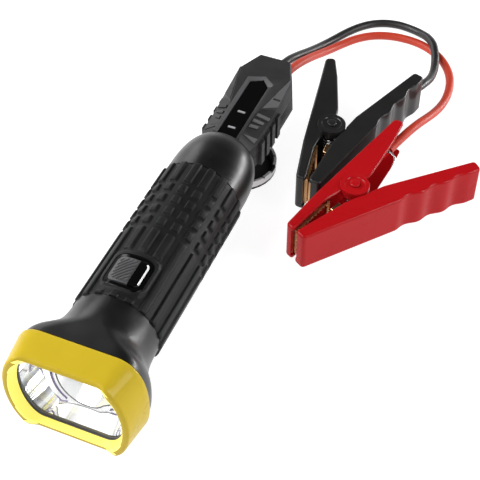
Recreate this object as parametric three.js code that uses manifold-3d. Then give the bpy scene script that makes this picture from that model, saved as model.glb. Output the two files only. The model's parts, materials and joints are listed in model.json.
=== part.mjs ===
// A torch-shaped jump starter pack with its clamp cable plugged into the tail.
// Millimetres, +Z up. The torch lies along +Y with its lens at the -Y end, on the plane Z = 0.
// The origin is the middle of the flat underside of the bezel.
import * as THREE from 'three';
import Module from 'manifold-3d';
import { mergeVertices } from 'three/addons/utils/BufferGeometryUtils.js';

const wasm = await Module();
wasm.setup();

// ---- driving dimensions -------------------------------------------------------------------
const GAP = 0.3; // between pieces that touch
const AXIS_HEIGHT = 28.6; // torch axis above the floor, which is the bezel's half height
const FRONT_Y = -11; // the bezel's front plane

const BEZEL_DEPTH = 20.8;
const BEZEL_FRONT = { width: 35.3, height: 28.6, flat: 22, power: 1.9 };
const BEZEL_REAR = { width: 37.1, height: 28.6, flat: 20, power: 2.4 };
const OPENING_DEPTH = 6.2; // from the bezel's front to the lens seat
const SCOOP_DEPTH = 2.2; // the top and bottom rims stand back from the side lobes

const TUBE_OUTER = 23.3;
const TUBE_INNER = 21.5;
const GRIP_FRONT = 56.5;
const GRIP_REAR = 162;
const GRIP_BASE = 25.2;
const GRIP_RIB = 26.2;
const RIBS = 18;

const BUTTON_Y = 74.4;
const BUTTON_LENGTH = 17.2;
const BUTTON_WIDTH = 18;
const BUTTON_TOP = 26.5; // radius of its curved face
const FRAME_SIZE = 22;

const CELL_RADIUS = 9.1;
const CELL_LENGTH = 65;
const CELL_START = 90;
const CELL_CIRCLE = 10.8;

const TAIL_END = 199;
const SOCKET_HALF = [12, 7];
const PIN_SPREAD = 5;

const HINGE_Y = 197;
const HINGE_Z = -23;
const CAP_RADIUS = 23.4;
const CAP_OPEN = 91.5; // turned down until its far edge meets the floor
const CAP_RIM_Y = 193.5; // measured with the cap closed
const CAP_END_Y = 201.3;

const PLUG_FRONT = TAIL_END + GAP;
const PLUG_REAR = 279;
const PLUG_SPLIT_Z = 1;

const CORD_DIAMETER = 5.5;
const CORD_EXIT_Z = -4;
const CORD_EXIT_X = 3.6;

const CLAMP_HALF = 13; // half the width of a clamp along its pivot
const CLAMP_HEIGHT = 15.3; // clamp mid-plane above the floor: the rivet heads rest on it
const CLAMP_WALL = 2.2;
const EAR_RADIUS = 8.7;

// ---- materials ----------------------------------------------------------------------------
function paint(color, roughness, metalness = 0) {
  return new THREE.MeshStandardMaterial({ color, roughness, metalness });
}
const YELLOW = paint(0xe8c11c, 0.38);
const SHELL = paint(0x1b1b1d, 0.42);
const RUBBER = paint(0x1d1d1e, 0.78);
const BUTTON = paint(0x4a4a4d, 0.5);
const GLOSS = paint(0x050505, 0.08);
const CHROME = paint(0xf0f0f0, 0.08, 1);
const CLEAR = new THREE.MeshStandardMaterial({ color: 0xffffff, transparent: true, opacity: 0.3 });
const LIGHT = paint(0xfff6d0, 0.4);
const BOARD = paint(0x14522a, 0.5);
const ALUMINIUM = paint(0xb5b8bc, 0.35, 1);
const CELL = paint(0x2a66b0, 0.4);
const BRASS = paint(0xc79a45, 0.3, 1);
const STEEL = paint(0xc6c8cb, 0.25, 1);
const COPPER = paint(0xc77a45, 0.3, 1);
const RED = paint(0xc4202a, 0.4);
const RED_CORD = paint(0xe04a36, 0.45);
const BLACK_CORD = paint(0x2c2b2b, 0.45);
const BLACK_CLAMP = paint(0x2b2a2a, 0.4);

// ---- solids -------------------------------------------------------------------------------
function triangles(geometry) {
  const bare = geometry.clone();
  bare.deleteAttribute('normal');
  bare.deleteAttribute('uv');
  const merged = mergeVertices(bare, 1e-4);
  const position = merged.attributes.position;
  const index = [];
  let volume = 0;
  const [a, b, c] = [new THREE.Vector3(), new THREE.Vector3(), new THREE.Vector3()];
  for (let i = 0; i < merged.index.count; i += 3) {
    const [p, q, r] = [0, 1, 2].map((k) => merged.index.getX(i + k));
    if (p === q || q === r || r === p) continue;
    a.fromBufferAttribute(position, p);
    b.fromBufferAttribute(position, q);
    c.fromBufferAttribute(position, r);
    volume += a.dot(b.cross(c));
    index.push(p, q, r);
  }
  if (volume < 0) index.reverse();
  return { vertProperties: Float32Array.from(position.array), triVerts: Uint32Array.from(index) };
}

function solid(geometry) {
  return new wasm.Manifold(new wasm.Mesh({ numProp: 3, ...triangles(geometry) }));
}

function geometryOf(body) {
  const mesh = body.getMesh();
  const geometry = new THREE.BufferGeometry();
  geometry.setAttribute('position', new THREE.BufferAttribute(mesh.vertProperties, 3));
  geometry.setIndex(new THREE.BufferAttribute(mesh.triVerts, 1));
  const flat = geometry.toNonIndexed();
  flat.computeVertexNormals();
  return flat;
}

function cut(body, ...tools) {
  return tools.reduce((left, tool) => left.subtract(tool), body);
}

function join(body, ...more) {
  return more.reduce((left, other) => left.add(other), body);
}

function box([x0, x1], [y0, y1], [z0, z1]) {
  const geometry = new THREE.BoxGeometry(x1 - x0, y1 - y0, z1 - z0);
  return solid(geometry.translate((x0 + x1) / 2, (y0 + y1) / 2, (z0 + z1) / 2));
}

// A cylinder from low to high along one axis, through the point `at` on the other two.
function rod(axis, radius, [low, high], at = [0, 0], sides = 20) {
  const geometry = new THREE.CylinderGeometry(radius, radius, high - low, sides);
  geometry.translate(0, (low + high) / 2, 0);
  if (axis === 'y') return solid(geometry.translate(at[0], 0, at[1]));
  if (axis === 'x') return solid(geometry.rotateZ(-Math.PI / 2).translate(0, at[0], at[1]));
  return solid(geometry.rotateX(Math.PI / 2).translate(at[0], at[1], 0));
}

function shapeOf(points) {
  return new THREE.Shape(points.map(([x, y]) => new THREE.Vector2(x, y)));
}

// A prism of an outline in XY, from z0 to z1.
function prism(points, z0, z1) {
  const options = { depth: z1 - z0, bevelEnabled: false };
  return solid(new THREE.ExtrudeGeometry(shapeOf(points), options).translate(0, 0, z0));
}

// A solid of revolution about Y from [radius, y] points that start and end on the axis or close.
function lathe(points, sides = 32) {
  return solid(new THREE.LatheGeometry(points.map(([r, y]) => new THREE.Vector2(r, y)), sides));
}

// A closed skin over rings of the same number of points, with a fan over each end.
function loft(rings) {
  const count = rings[0].length;
  const position = rings.flat(2);
  for (const ring of [rings[0], rings[rings.length - 1]]) {
    const middle = [0, 1, 2].map((k) => ring.reduce((sum, p) => sum + p[k], 0) / count);
    position.push(...middle);
  }
  const index = [];
  const first = rings.length * count;
  for (let i = 0; i < count; i += 1) {
    const next = (i + 1) % count;
    for (let k = 0; k + 1 < rings.length; k += 1) {
      const [a, b] = [k * count + i, k * count + next];
      index.push(a, b, b + count, a, b + count, a + count);
    }
    index.push(first, next, i);
    const last = (rings.length - 1) * count;
    index.push(first + 1, last + i, last + next);
  }
  const geometry = new THREE.BufferGeometry();
  geometry.setAttribute('position', new THREE.Float32BufferAttribute(position, 3));
  geometry.setIndex(index);
  return solid(geometry);
}

// A ring across the torch: straight for 2 * flat at top and bottom, with superellipse ends.
function ring(y, { width, height, flat, power }, inset = 0, steps = 6) {
  const corner = [];
  for (let i = 0; i <= steps; i += 1) {
    const angle = (i / steps) * (Math.PI / 2);
    const across = Math.max(Math.sin(angle), 0) ** (2 / power);
    const up = i === steps ? 0 : Math.cos(angle) ** (2 / power);
    corner.push([flat + (width - inset - flat) * across, (height - inset) * up]);
  }
  const back = corner.slice(0, -1).reverse();
  return [
    ...corner.map(([x, z]) => [x, y, z]),
    ...back.map(([x, z]) => [x, y, -z]),
    ...corner.map(([x, z]) => [-x, y, -z]),
    ...back.map(([x, z]) => [-x, y, z]),
  ];
}

// The lens seat's outline, which the gasket, the lens and the reflector share.
const SEAT = { width: 34.2, height: 26, flat: 19, power: 2.2 };
const OPENING = { width: 29.8, height: 24, flat: 18, power: 2 };

function slab(outline, y0, y1, inset = 0) {
  return loft([ring(y0, outline, inset), ring(y1, outline, inset)]);
}

// ---- the torch's own pieces, with the torch axis on Y ---------------------------------------
function bezel() {
  const outer = loft([
    ring(0, BEZEL_FRONT, 0.7),
    ring(1.2, BEZEL_FRONT),
    ring(BEZEL_DEPTH - 2, BEZEL_REAR),
    ring(BEZEL_DEPTH, BEZEL_REAR),
  ]);
  const wider = { width: 31.4, height: 25.2, flat: 18, power: 2 };
  const opening = loft([ring(-1, wider), ring(OPENING_DEPTH + 0.1, OPENING)]);
  const rear = slab({ width: 34.6, height: 26.4, flat: 19, power: 2.2 }, OPENING_DEPTH, BEZEL_DEPTH + 1);
  const scoop = prism([[-25, -1], [25, -1], [21, SCOOP_DEPTH], [-21, SCOOP_DEPTH]], -40, 40);
  return cut(outer, opening, rear, scoop);
}

function gasket() {
  return cut(slab(SEAT, 6.5, 8.2), slab({ ...OPENING, width: 29.4, height: 23.6 }, 6, 9));
}

// The bowl follows a parabola with its focus at the light source.
function bowl(mouth, front, offset) {
  const focus = 6.5;
  const points = [[0, front]];
  for (let i = 0; i <= 6; i += 1) {
    const radius = mouth + (5 - mouth) * (i / 6);
    points.push([radius + offset, front + (mouth ** 2 - radius ** 2) / (4 * focus)]);
  }
  const end = points[points.length - 1];
  points.push([0, end[1]]);
  return lathe(points, 24);
}

function reflector() {
  const front = { width: 30.4, height: 24.6, flat: 17, power: 2 };
  const rear = { width: 27.2, height: 22.6, flat: 14, power: 2 };
  const outside = join(
    slab(SEAT, 10.6, 12),
    loft([ring(11.9, front, -1.2), ring(22.4, rear, -1.2)]),
    bowl(21.8, 21, 1.3),
  );
  const inside = join(
    loft([ring(10, front), ring(21.1, rear)]),
    bowl(21.8, 21, 0),
    rod('y', 4.8, [30, 45]),
  );
  return cut(outside, inside);
}

// The neck turns from the bezel's outline to the round handle.
function headShell() {
  const stations = [
    [21.1, 36.2, 27.9, 19.5, 2.4],
    [25, 35.5, 27.7, 18, 2.3],
    [28.5, 34, 27.3, 15, 2.2],
    [31.5, 31.9, 26.9, 11, 2.1],
    [35, 29.2, 26.4, 7, 2],
    [39, 27.2, 25.9, 3, 2],
    [44, 25.8, 25.4, 1, 2],
    [50, 25.1, 25.1, 0, 2],
    [56.2, 24.9, 24.9, 0, 2],
  ].map(([y, width, height, flat, power]) => ({ y, width, height, flat, power }));
  const outer = loft(stations.map((s) => ring(s.y, s)));
  const hollow = stations.slice(0, 7).map((s) => ring(s.y, s, 1.9));
  hollow[0] = ring(20, stations[0], 1.9);
  return cut(outer, loft(hollow), rod('y', TUBE_OUTER + GAP, [43.9, 57], [0, 0], 32));
}

function bodyTube() {
  const tube = lathe([
    [TUBE_OUTER, 46],
    [TUBE_OUTER, 164],
    [TUBE_INNER, 164],
    [TUBE_INNER, 46],
    [TUBE_OUTER, 46],
  ]);
  return cut(tube, box([-5.4, 5.4], [BUTTON_Y - 7, BUTTON_Y + 7], [15, 30]));
}

// Ribs run the length of the sleeve, and a smooth island carries the button.
function gripSleeve() {
  const outline = [];
  for (let i = 0; i < RIBS; i += 1) {
    for (const [share, radius] of [[-0.3, GRIP_BASE], [-0.25, GRIP_RIB], [0.25, GRIP_RIB], [0.3, GRIP_BASE]]) {
      const angle = ((i + share) / RIBS) * 2 * Math.PI;
      outline.push([radius * Math.sin(angle), radius * Math.cos(angle)]);
    }
  }
  const options = { depth: GRIP_REAR - GRIP_FRONT, bevelEnabled: false };
  const ribbed = new THREE.ExtrudeGeometry(shapeOf(outline), options);
  ribbed.rotateX(Math.PI / 2).translate(0, GRIP_REAR, 0);
  const sector = [[0, 0]];
  for (let i = -5; i <= 5; i += 1) {
    const angle = (i / 5) * (Math.PI / 5.2);
    sector.push([26.5 * Math.sin(angle), 26.5 * Math.cos(angle)]);
  }
  const island = new THREE.ExtrudeGeometry(shapeOf(sector), { depth: 32, bevelEnabled: false });
  island.rotateX(Math.PI / 2).translate(0, BUTTON_Y + 16, 0);
  const half = FRAME_SIZE / 2 + GAP;
  const window = prism(roundedRectangle(half, half, 4.8, BUTTON_Y), 10, 40);
  return cut(join(solid(ribbed), solid(island)), rod('y', TUBE_OUTER + GAP, [50, 170], [0, 0], 32), window);
}

function roundedRectangle(halfX, halfY, radius, centreY = 0) {
  const points = [];
  for (const [sx, sy, start] of [[1, 1, 0], [-1, 1, 90], [-1, -1, 180], [1, -1, 270]]) {
    for (let i = 0; i <= 3; i += 1) {
      const angle = THREE.MathUtils.degToRad(start + i * 30);
      const x = sx * (halfX - radius) + radius * Math.cos(angle);
      points.push([x, centreY + sy * (halfY - radius) + radius * Math.sin(angle)]);
    }
  }
  return points;
}

// A cylindrical layer of the torch between two radii, to intersect with an outline seen from above.
function layer(inner, outer) {
  return cut(rod('y', outer, [55, 95], [0, 0], 64), rod('y', inner, [50, 100], [0, 0], 64));
}

function buttonFrame() {
  const frame = prism(roundedRectangle(FRAME_SIZE / 2, FRAME_SIZE / 2, 4.5, BUTTON_Y), 15, 40);
  const hole = roundedRectangle(BUTTON_WIDTH / 2 + 0.35, BUTTON_LENGTH / 2 + 0.35, 3.8, BUTTON_Y);
  return cut(frame.intersect(layer(TUBE_OUTER + GAP, 26.1)), prism(hole, 10, 50));
}

function powerButton() {
  const outline = roundedRectangle(BUTTON_WIDTH / 2, BUTTON_LENGTH / 2, 3.4, BUTTON_Y);
  const cap = prism(outline, 15, 40).intersect(layer(24.5, BUTTON_TOP));
  return join(cap, rod('z', 2, [22.1, 25], [0, BUTTON_Y], 12));
}

function cellCap(y0, y1) {
  const holes = [0, 1, 2].map((k) => rod('y', 4, [y0 - 1, y1 + 1], cellCentre(k), 12));
  return cut(rod('y', TUBE_INNER - GAP, [y0, y1], [0, 0], 32), ...holes);
}

function cellCentre(k) {
  const angle = THREE.MathUtils.degToRad(-90 + 120 * k);
  return [CELL_CIRCLE * Math.cos(angle), CELL_CIRCLE * Math.sin(angle)];
}

// A welded strip that joins two neighbouring cells.
function cellLink(y, first, second) {
  const [a, b] = [cellCentre(first), cellCentre(second)];
  const ends = [a, b].map((at) => rod('y', 4.6, [y, y + 0.8], at, 12));
  const length = Math.hypot(b[0] - a[0], b[1] - a[1]);
  const bar = new THREE.BoxGeometry(length, 0.8, 6);
  bar.rotateY(-Math.atan2(b[1] - a[1], b[0] - a[0]));
  bar.translate((a[0] + b[0]) / 2, y + 0.4, (a[1] + b[1]) / 2);
  return join(ends[0], ends[1], solid(bar));
}

function mainBoard() {
  const board = rod('y', 20.5, [160.8, 162.4], [0, 0], 24);
  const parts = [-9, 0, 9].map((x) => box([x - 3.4, x + 3.4], [162.2, 167], [-14, -4]));
  return join(board, ...parts, rod('y', 4, [162.2, 176], [0, 13], 16));
}

function tailHousing() {
  const body = lathe([
    [0, TAIL_END],
    [17.6, TAIL_END],
    [18.8, 198.4],
    [20.6, 195.4],
    [22.5, 190.4],
    [23.9, 184],
    [24.6, 176.5],
    [24.8, GRIP_REAR + GAP],
    [TUBE_OUTER + GAP, GRIP_REAR + GAP],
    [TUBE_OUTER + GAP, 166.5],
    [22, 166.5],
    [22, 182],
    [20.3, 189],
    [16.8, 195.2],
    [0, 195.2],
  ], 32);
  const ears = [-1, 1].map((side) => box([side * 6.6 - 1.6, side * 6.6 + 1.6], [190.5, 199], [-25.2, -17]));
  const hinge = rod('x', 1.55, [-10, 10], [HINGE_Y, HINGE_Z], 16);
  const socket = box([-12.3, 12.3], [190, 200], [-7.3, 7.3]);
  const port = box([-4.9, 4.9], [190, 200], [10, 13.8]);
  return cut(join(body, ...ears), hinge, socket, port);
}

function outputSocket() {
  const block = box([-SOCKET_HALF[0], SOCKET_HALF[0]], [178, 198.7], [-SOCKET_HALF[1], SOCKET_HALF[1]]);
  return cut(block, box([-10, 10], [181, 200], [-5, 5]));
}

function chargePort() {
  return cut(box([-4.6, 4.6], [189, 198.7], [10.3, 13.5]), box([-3.9, 3.9], [192, 200], [11, 12.8]));
}

// The cap is a shallow cup with a knuckle between the tail's two ears, drawn closed about its hinge.
function tailCap() {
  const [rim, end] = [CAP_RIM_Y - HINGE_Y, CAP_END_Y - HINGE_Y];
  const cup = lathe([
    [0, end],
    [CAP_RADIUS - 2.4, end],
    [CAP_RADIUS, end - 2],
    [CAP_RADIUS, rim],
    [CAP_RADIUS - 1.8, rim],
    [CAP_RADIUS - 1.8, end - 2.4],
    [CAP_RADIUS - 3.2, end - 1.4],
    [0, end - 1.4],
  ], 32).translate([0, 0, -HINGE_Z]);
  const clearance = box([-8.7, 8.7], [rim - 1, end - 1.5], [-6, 6.6]);
  const knuckle = rod('x', 2.5, [-4.6, 4.6], [0, 0], 16);
  const web = box([-4.6, 4.6], [0, end - 0.2], [-1.2, 2.4]);
  const hole = rod('x', 1.55, [-10, 10], [0, 0], 16);
  const notches = [-1, 1].map((side) => box([side * 23 - 2.2, side * 23 + 2.2], [rim - 1, rim + 1.6], [19.5, 26.5]));
  return cut(join(cut(cup, clearance), knuckle, web), hole, ...notches);
}

function capSeal() {
  const [inner, outer, y] = [CAP_RADIUS - 4.6, CAP_RADIUS - 3.6, CAP_END_Y - HINGE_Y - 1.7];
  const disc = lathe([[outer, y], [outer, y - 1.2], [inner, y - 1.2], [inner, y], [outer, y]], 32);
  return cut(disc.translate([0, 0, -HINGE_Z]), box([-9, 9], [-9, 9], [-9, 7]));
}

// ---- the cable's plug, on the torch axis ----------------------------------------------------
// Each station gives half widths and heights of an eight-sided section.
const PLUG_STATIONS = [
  { y: PLUG_FRONT, top: [8.6, 14.6], upper: [15.2, 8.5], lower: [15.2, -5], bottom: [8, -10.5] },
  { y: 204.5, top: [8.2, 16], upper: [17, 9.5], lower: [17.2, -7], bottom: [9.5, -13] },
  { y: 224, top: [8.4, 16], upper: [17.6, 9.5], lower: [18.6, -8], bottom: [12.5, -14] },
  { y: 263, top: [16.4, 16], upper: [17.7, 14.6], lower: [18.8, -8], bottom: [13.5, -14] },
  { y: PLUG_REAR, top: [9.8, 15.6], upper: [10.8, 14.2], lower: [11.4, -8], bottom: [8, -13] },
];

function plugSection(station, y, inset) {
  const right = [station.top, station.upper, station.lower, station.bottom];
  const middle = PLUG_SPLIT_Z;
  const points = right.map(([x, z]) => [x - inset, z > middle ? z - inset : z + inset]);
  const left = points.map(([x, z]) => [-x, z]).reverse();
  return [...points, ...left].map(([x, z]) => [x, y, z]);
}

function windowOutline(grow) {
  const half = 6 + grow;
  return [[-half, 200.6 - grow], [half, 200.6 - grow], [half, 251 + grow], [1.5, 256.5 + grow], [-half, 252.5 + grow]];
}

// The walls of the window's recess slope out to the top face.
function windowSlope() {
  const heights = [[0.3, 15], [2.9, 16.1], [2.9, 20]];
  return loft(heights.map(([grow, z]) => windowOutline(grow).map(([x, y]) => [x, y, z])));
}

function plugBody() {
  const outer = loft(PLUG_STATIONS.map((s) => plugSection(s, s.y, 0)));
  const inside = PLUG_STATIONS.map((s) => plugSection(s, s.y, 2.3));
  inside[0] = plugSection(PLUG_STATIONS[0], PLUG_FRONT + 2.2, 2.3);
  inside[4] = plugSection(PLUG_STATIONS[4], PLUG_REAR - 2.5, 2.3);
  const ribs = [];
  for (let i = 0; i < 4; i += 1) {
    for (const side of [-1, 1]) {
      const middle = side * 18.1;
      const y = 209 + 8.6 * i;
      ribs.push(box([middle - 1.5, middle + 1.5], [y, y + 4.6], [-9, 7.5]));
    }
  }
  const hollow = loft(inside);
  const connector = box([-10, 10], [190, 206], [-5, 5]);
  const grommet = box([-8.4, 8.4], [270, 290], [CORD_EXIT_Z - 4.4, CORD_EXIT_Z + 4.4]);
  const pad = prism(windowOutline(1), 12.2, 14.4);
  const recess = prism(windowOutline(0.3), 13.7, 20);
  return cut(join(cut(join(outer, ...ribs), hollow), pad), connector, grommet, recess, windowSlope());
}

const PLUG_SCREW_Y = [210.5, 269.5];

function plugHalves() {
  const body = plugBody();
  const above = box([-40, 40], [150, 320], [PLUG_SPLIT_Z + GAP / 2, 60]);
  const below = box([-40, 40], [150, 320], [-60, PLUG_SPLIT_Z - GAP / 2]);
  let top = body.intersect(above);
  let bottom = body.intersect(below);
  for (const y of PLUG_SCREW_Y) {
    const bossTop = rod('z', 3.4, [PLUG_SPLIT_Z + GAP / 2, y < 240 ? 13.2 : 14], [0, y], 12);
    const bossBottom = rod('z', 3.4, [-12, PLUG_SPLIT_Z - GAP / 2], [0, y], 12);
    top = cut(join(top, bossTop), rod('z', 1.6, [-20, 10], [0, y], 12));
    bottom = cut(join(bottom, bossBottom), rod('z', 1.6, [-20, 10], [0, y], 12), rod('z', 2.9, [-20, -9], [0, y], 12));
  }
  return [top, bottom];
}

function plugScrew(y) {
  return join(rod('z', 1.25, [-9.6, 9], [0, y], 10), rod('z', 2.5, [-11.3, -9.3], [0, y], 10));
}

function plugWindow() {
  const plate = prism(windowOutline(0), 14, 15);
  const slots = [209, 224].map((y) => box([-2.6, 2.6], [y - 1, y + 1], [10, 20]));
  return cut(plate, ...slots);
}

function plugConnector() {
  const block = box([-9.7, 9.7], [184, 205], [-4.7, 4.7]);
  const bores = [-1, 1].map((side) => rod('y', 3.5, [180, 200], [side * PIN_SPREAD, 0], 16));
  return cut(block, ...bores);
}

function contactTube(x) {
  return cut(rod('y', 3.2, [184.3, 199.7], [x, 0], 16), rod('y', 2.5, [180, 198], [x, 0], 16));
}

function cableGrommet() {
  const plate = box([-8, 8], [275.4, 281.4], [CORD_EXIT_Z - 4, CORD_EXIT_Z + 4]);
  const flange = box([-7.5, 7.5], [273.3, 275.6], [CORD_EXIT_Z - 4, CORD_EXIT_Z + 6.2]);
  const bores = [-1, 1].map((side) =>
    rod('y', CORD_DIAMETER / 2 + GAP, [270, 290], [side * CORD_EXIT_X, CORD_EXIT_Z], 16));
  return cut(join(plate, flange), ...bores);
}

// ---- the two leads --------------------------------------------------------------------------
// Each route runs from inside the grommet over the floor to inside its clamp's handle.
const BLACK_ROUTE = [
  [-3.6, 276.5, 24.6], [-3.6, 286, 24.6], [-2.9, 297, 23.8], [-1.2, 308.5, 21.4], [1, 320, 17.4],
  [3.6, 332, 12.6], [6.2, 344.5, 8], [9, 355.5, 4.8], [12.6, 366, 3.1], [17.3, 375.5, 2.8],
  [23, 384, 2.8], [30, 391, 2.8], [38.5, 395.6, 2.8], [48, 397.4, 2.8], [57.5, 396, 3.1],
  [66, 391.6, 4.7], [73, 385, 7.3], [78.6, 377, 8.9], [82.8, 368, 7.8], [85.6, 358, 6.6],
  [87, 348, 7.6], [87.2, 338, 10.4], [85.9, 328, 13.6], [83.4, 318.4, 15.2], [79.9, 308.2, 15.3],
];
const RED_ROUTE = [
  [3.6, 276.5, 24.6], [3.6, 286, 24.6], [4.2, 296, 23.6], [5.7, 307, 21], [7.5, 318.5, 17.1],
  [9.5, 330, 12.6], [11.8, 341, 8.2], [14.8, 351.5, 4.9], [18.8, 361, 3.1], [24.2, 369, 2.8],
  [31, 375.6, 2.8], [39, 380.4, 2.8], [48, 383.1, 2.8], [57.5, 383.8, 2.8], [67, 382.6, 2.8],
  [76, 379.2, 2.8], [84.3, 373.6, 2.8], [91.3, 366, 2.8], [96.6, 357, 2.8], [99.9, 346.5, 2.9],
  [101.3, 335, 3.4], [101.1, 323, 5], [99.6, 311, 7.8], [97.2, 299.5, 11], [94.3, 288.5, 13.7],
  [91.4, 278, 15.1], [88.3, 267.2, 15.3], [85.3, 256.5, 15.3],
];

function lead(route) {
  const points = route.map(([x, y, z]) => new THREE.Vector3(x, y, z));
  const path = new THREE.CatmullRomCurve3(points, false, 'centripetal');
  const steps = Math.round(path.getLength() / (2 * CORD_DIAMETER));
  const section = [];
  for (let i = 0; i < 10; i += 1) {
    const angle = (i / 10) * 2 * Math.PI;
    section.push([(CORD_DIAMETER / 2) * Math.cos(angle), (CORD_DIAMETER / 2) * Math.sin(angle)]);
  }
  return solid(new THREE.ExtrudeGeometry(shapeOf(section), { steps, extrudePath: path }));
}

// ---- a clamp, flat in XY with its pivot on Z and its jaws towards -X --------------------------
const LONG_BACK = [[-51, -13.8], [67.2, -35.3]];

// The back of the long handle dips between the fingers.
function longOutline() {
  const [[x0, y0], [x1, y1]] = LONG_BACK;
  const slope = (y1 - y0) / (x1 - x0);
  const points = [[x0 + 1.4, y0 + 0.9], [x0 + 2, y0 - 0.3]];
  for (let i = 0; i <= 18; i += 1) {
    const x = 10 + 3 * i;
    const dip = x < 12 || x > 62 ? 0 : 0.75 * (1 - Math.cos(((x - 10) / 18) * 2 * Math.PI));
    points.push([x, y0 + slope * (x - x0) + dip]);
  }
  points.push([x1, y1], [69.6, -34.2], [71, -30], [70.2, -27.8], [13.8, -10.2]);
  points.push([-13, -6.3], [-48.6, -6.3]);
  return points;
}

function longHandle(cordEntry) {
  const outside = prism(longOutline(), -CLAMP_HALF, CLAMP_HALF);
  const hollow = [[-46.4, 4], [-48.2, -11.8], [8, -22], [64, -32], [67, -27], [64, 4]];
  const inside = prism(hollow, -CLAMP_HALF + CLAMP_WALL, CLAMP_HALF - CLAMP_WALL);
  const jawSlot = box([-60, -40], [-8.8, 0], [-10.3, 10.3]);
  let body = cut(outside, inside, jawSlot);
  const region = prism([[-13, -7.4], [13.8, -11], [13.8, -27], [-13, -22]], -11.2, 11.2);
  for (const side of [-1, 1]) {
    const layer = side > 0 ? [8.7, 10.9] : [-10.9, -8.7];
    const ear = rod('z', EAR_RADIUS - 0.4, layer, [0, 0], 24);
    const cheek = region.intersect(box([-20, 20], [-40, 20], side > 0 ? [8.7, 11.2] : [-11.2, -8.7]));
    const seat = side > 0 ? [10.9, 20] : [-20, -10.9];
    body = cut(join(body, ear, cheek), rod('z', EAR_RADIUS + 0.6, seat, [0, 0], 24));
  }
  body = cut(body, rod('z', 2.6, [-20, 20], [0, 0], 16));
  if (!cordEntry) return body;
  const bore = new THREE.CylinderGeometry(3.45, 3.45, 16, 16);
  bore.rotateZ(-Math.PI / 2).rotateZ(THREE.MathUtils.degToRad(-13)).translate(68, -30.2, 0);
  return cut(body, solid(bore));
}

// The short handle is an open channel: its end lets the lead in.
function shortHandle() {
  const outline = [
    [-49.4, -4.7], [-51, -3.4], [-51, 0.6], [-49.6, 1.9], [-20, 10.3], [0.7, 15.2],
    [38, 24], [56.5, 28.3], [59, 28], [61.3, 24.4], [60.6, 22.6], [46, 15.2], [12.4, 0.5], [-12, 2], [-21.3, 2],
  ];
  const ears = [-1, 1].map((side) => rod('z', EAR_RADIUS, side > 0 ? [11.3, 14.2] : [-14.2, -11.3], [0, 0], 28));
  const outside = prism(outline, -CLAMP_HALF, CLAMP_HALF);
  const hollow = [
    [-48.6, -9], [-48.6, -0.8], [-20, 7.9], [0.7, 12.7], [38, 21.6], [70, 29.2], [70, -12],
  ];
  const inside = prism(hollow, -11.3, 11.3);
  const pin = rod('z', 2.6, [-20, 20], [0, 0], 16);
  const jawSlot = box([-60, -40], [-9, -2.1], [-10.3, 10.3]);
  return cut(join(cut(outside, inside, jawSlot), ...ears), pin);
}

// A toothed copper strip on the inside of a jaw; side 1 is the short handle's jaw.
function jawLiner(side) {
  const [from, to] = [-48.3, side > 0 ? -18 : -15];
  const edge = (x) => (side > 0 ? -5.3 + (Math.max(x, -46) + 46) * 0.235 : -6.1 + Math.max(0, (x + 42) * 0.045));
  const teeth = [];
  const count = 12;
  for (let i = 0; i <= count; i += 1) {
    const x = from + ((to - from) * i) / count;
    teeth.push([x, edge(x) + (i % 2 === 0 ? 0 : side * 1)]);
  }
  const back = side > 0
    ? [[to, edge(to) + 2.6], [-45, -2.6], [from, -3.4]]
    : [[to, edge(to) - 2.6], [-45, -8.4], [from, -8]];
  return prism([...teeth, ...back], -10, 10);
}

// Jaw ends have a slot so that the strip shows between them.
function pivotPin() {
  const heads = [-1, 1].map((side) => rod('z', 3, side > 0 ? [14.5, CLAMP_HEIGHT] : [-CLAMP_HEIGHT, -14.5], [0, 0], 16));
  return join(rod('z', 2.2, [-CLAMP_HEIGHT + 0.2, CLAMP_HEIGHT - 0.2], [0, 0], 16), ...heads);
}

// A torsion spring: a coil round the pin, a long leg along the handle that holds the lead and a
// short leg towards the other handle.
function pivotSpring(legInLong) {
  const [radius, half, turns] = [4.6, 4.2, 3];
  const start = THREE.MathUtils.degToRad(80);
  const end = start + (turns + 0.45) * 2 * Math.PI;
  const points = legInLong
    ? [[5, 10.2, half], [2.6, 7, half]]
    : [[37, 5.6, 3.5], [40.4, 8.4, 5.6], [39.6, 13.6, 7.4], [35, 16, 7], [26, 12.8, 5.6], [16, 9.6, half + 0.2]];
  const count = 24;
  for (let i = 0; i <= count; i += 1) {
    const angle = start + (i / count) * (end - start);
    points.push([radius * Math.cos(angle), radius * Math.sin(angle), half - (2 * half * i) / count]);
  }
  points.push(...(legInLong ? [[16, -13, -half], [40, -22.4, -half]] : [[6, -8.2, -half], [9, -11.5, -half]]));
  const path = new THREE.CatmullRomCurve3(points.map((p) => new THREE.Vector3(...p)), false, 'centripetal');
  const section = [];
  for (let i = 0; i < 5; i += 1) {
    const angle = (i / 5) * 2 * Math.PI;
    section.push([0.8 * Math.cos(angle), 0.8 * Math.sin(angle)]);
  }
  return solid(new THREE.ExtrudeGeometry(shapeOf(section), { steps: 44, extrudePath: path }));
}

// ---- assembly -------------------------------------------------------------------------------
const pack = new THREE.Group();

function add(parent, name, body, material) {
  const mesh = new THREE.Mesh(geometryOf(body), material);
  mesh.name = name;
  parent.add(mesh);
}

const torch = new THREE.Group();
torch.position.set(0, FRONT_Y, AXIS_HEIGHT);
pack.add(torch);

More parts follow.
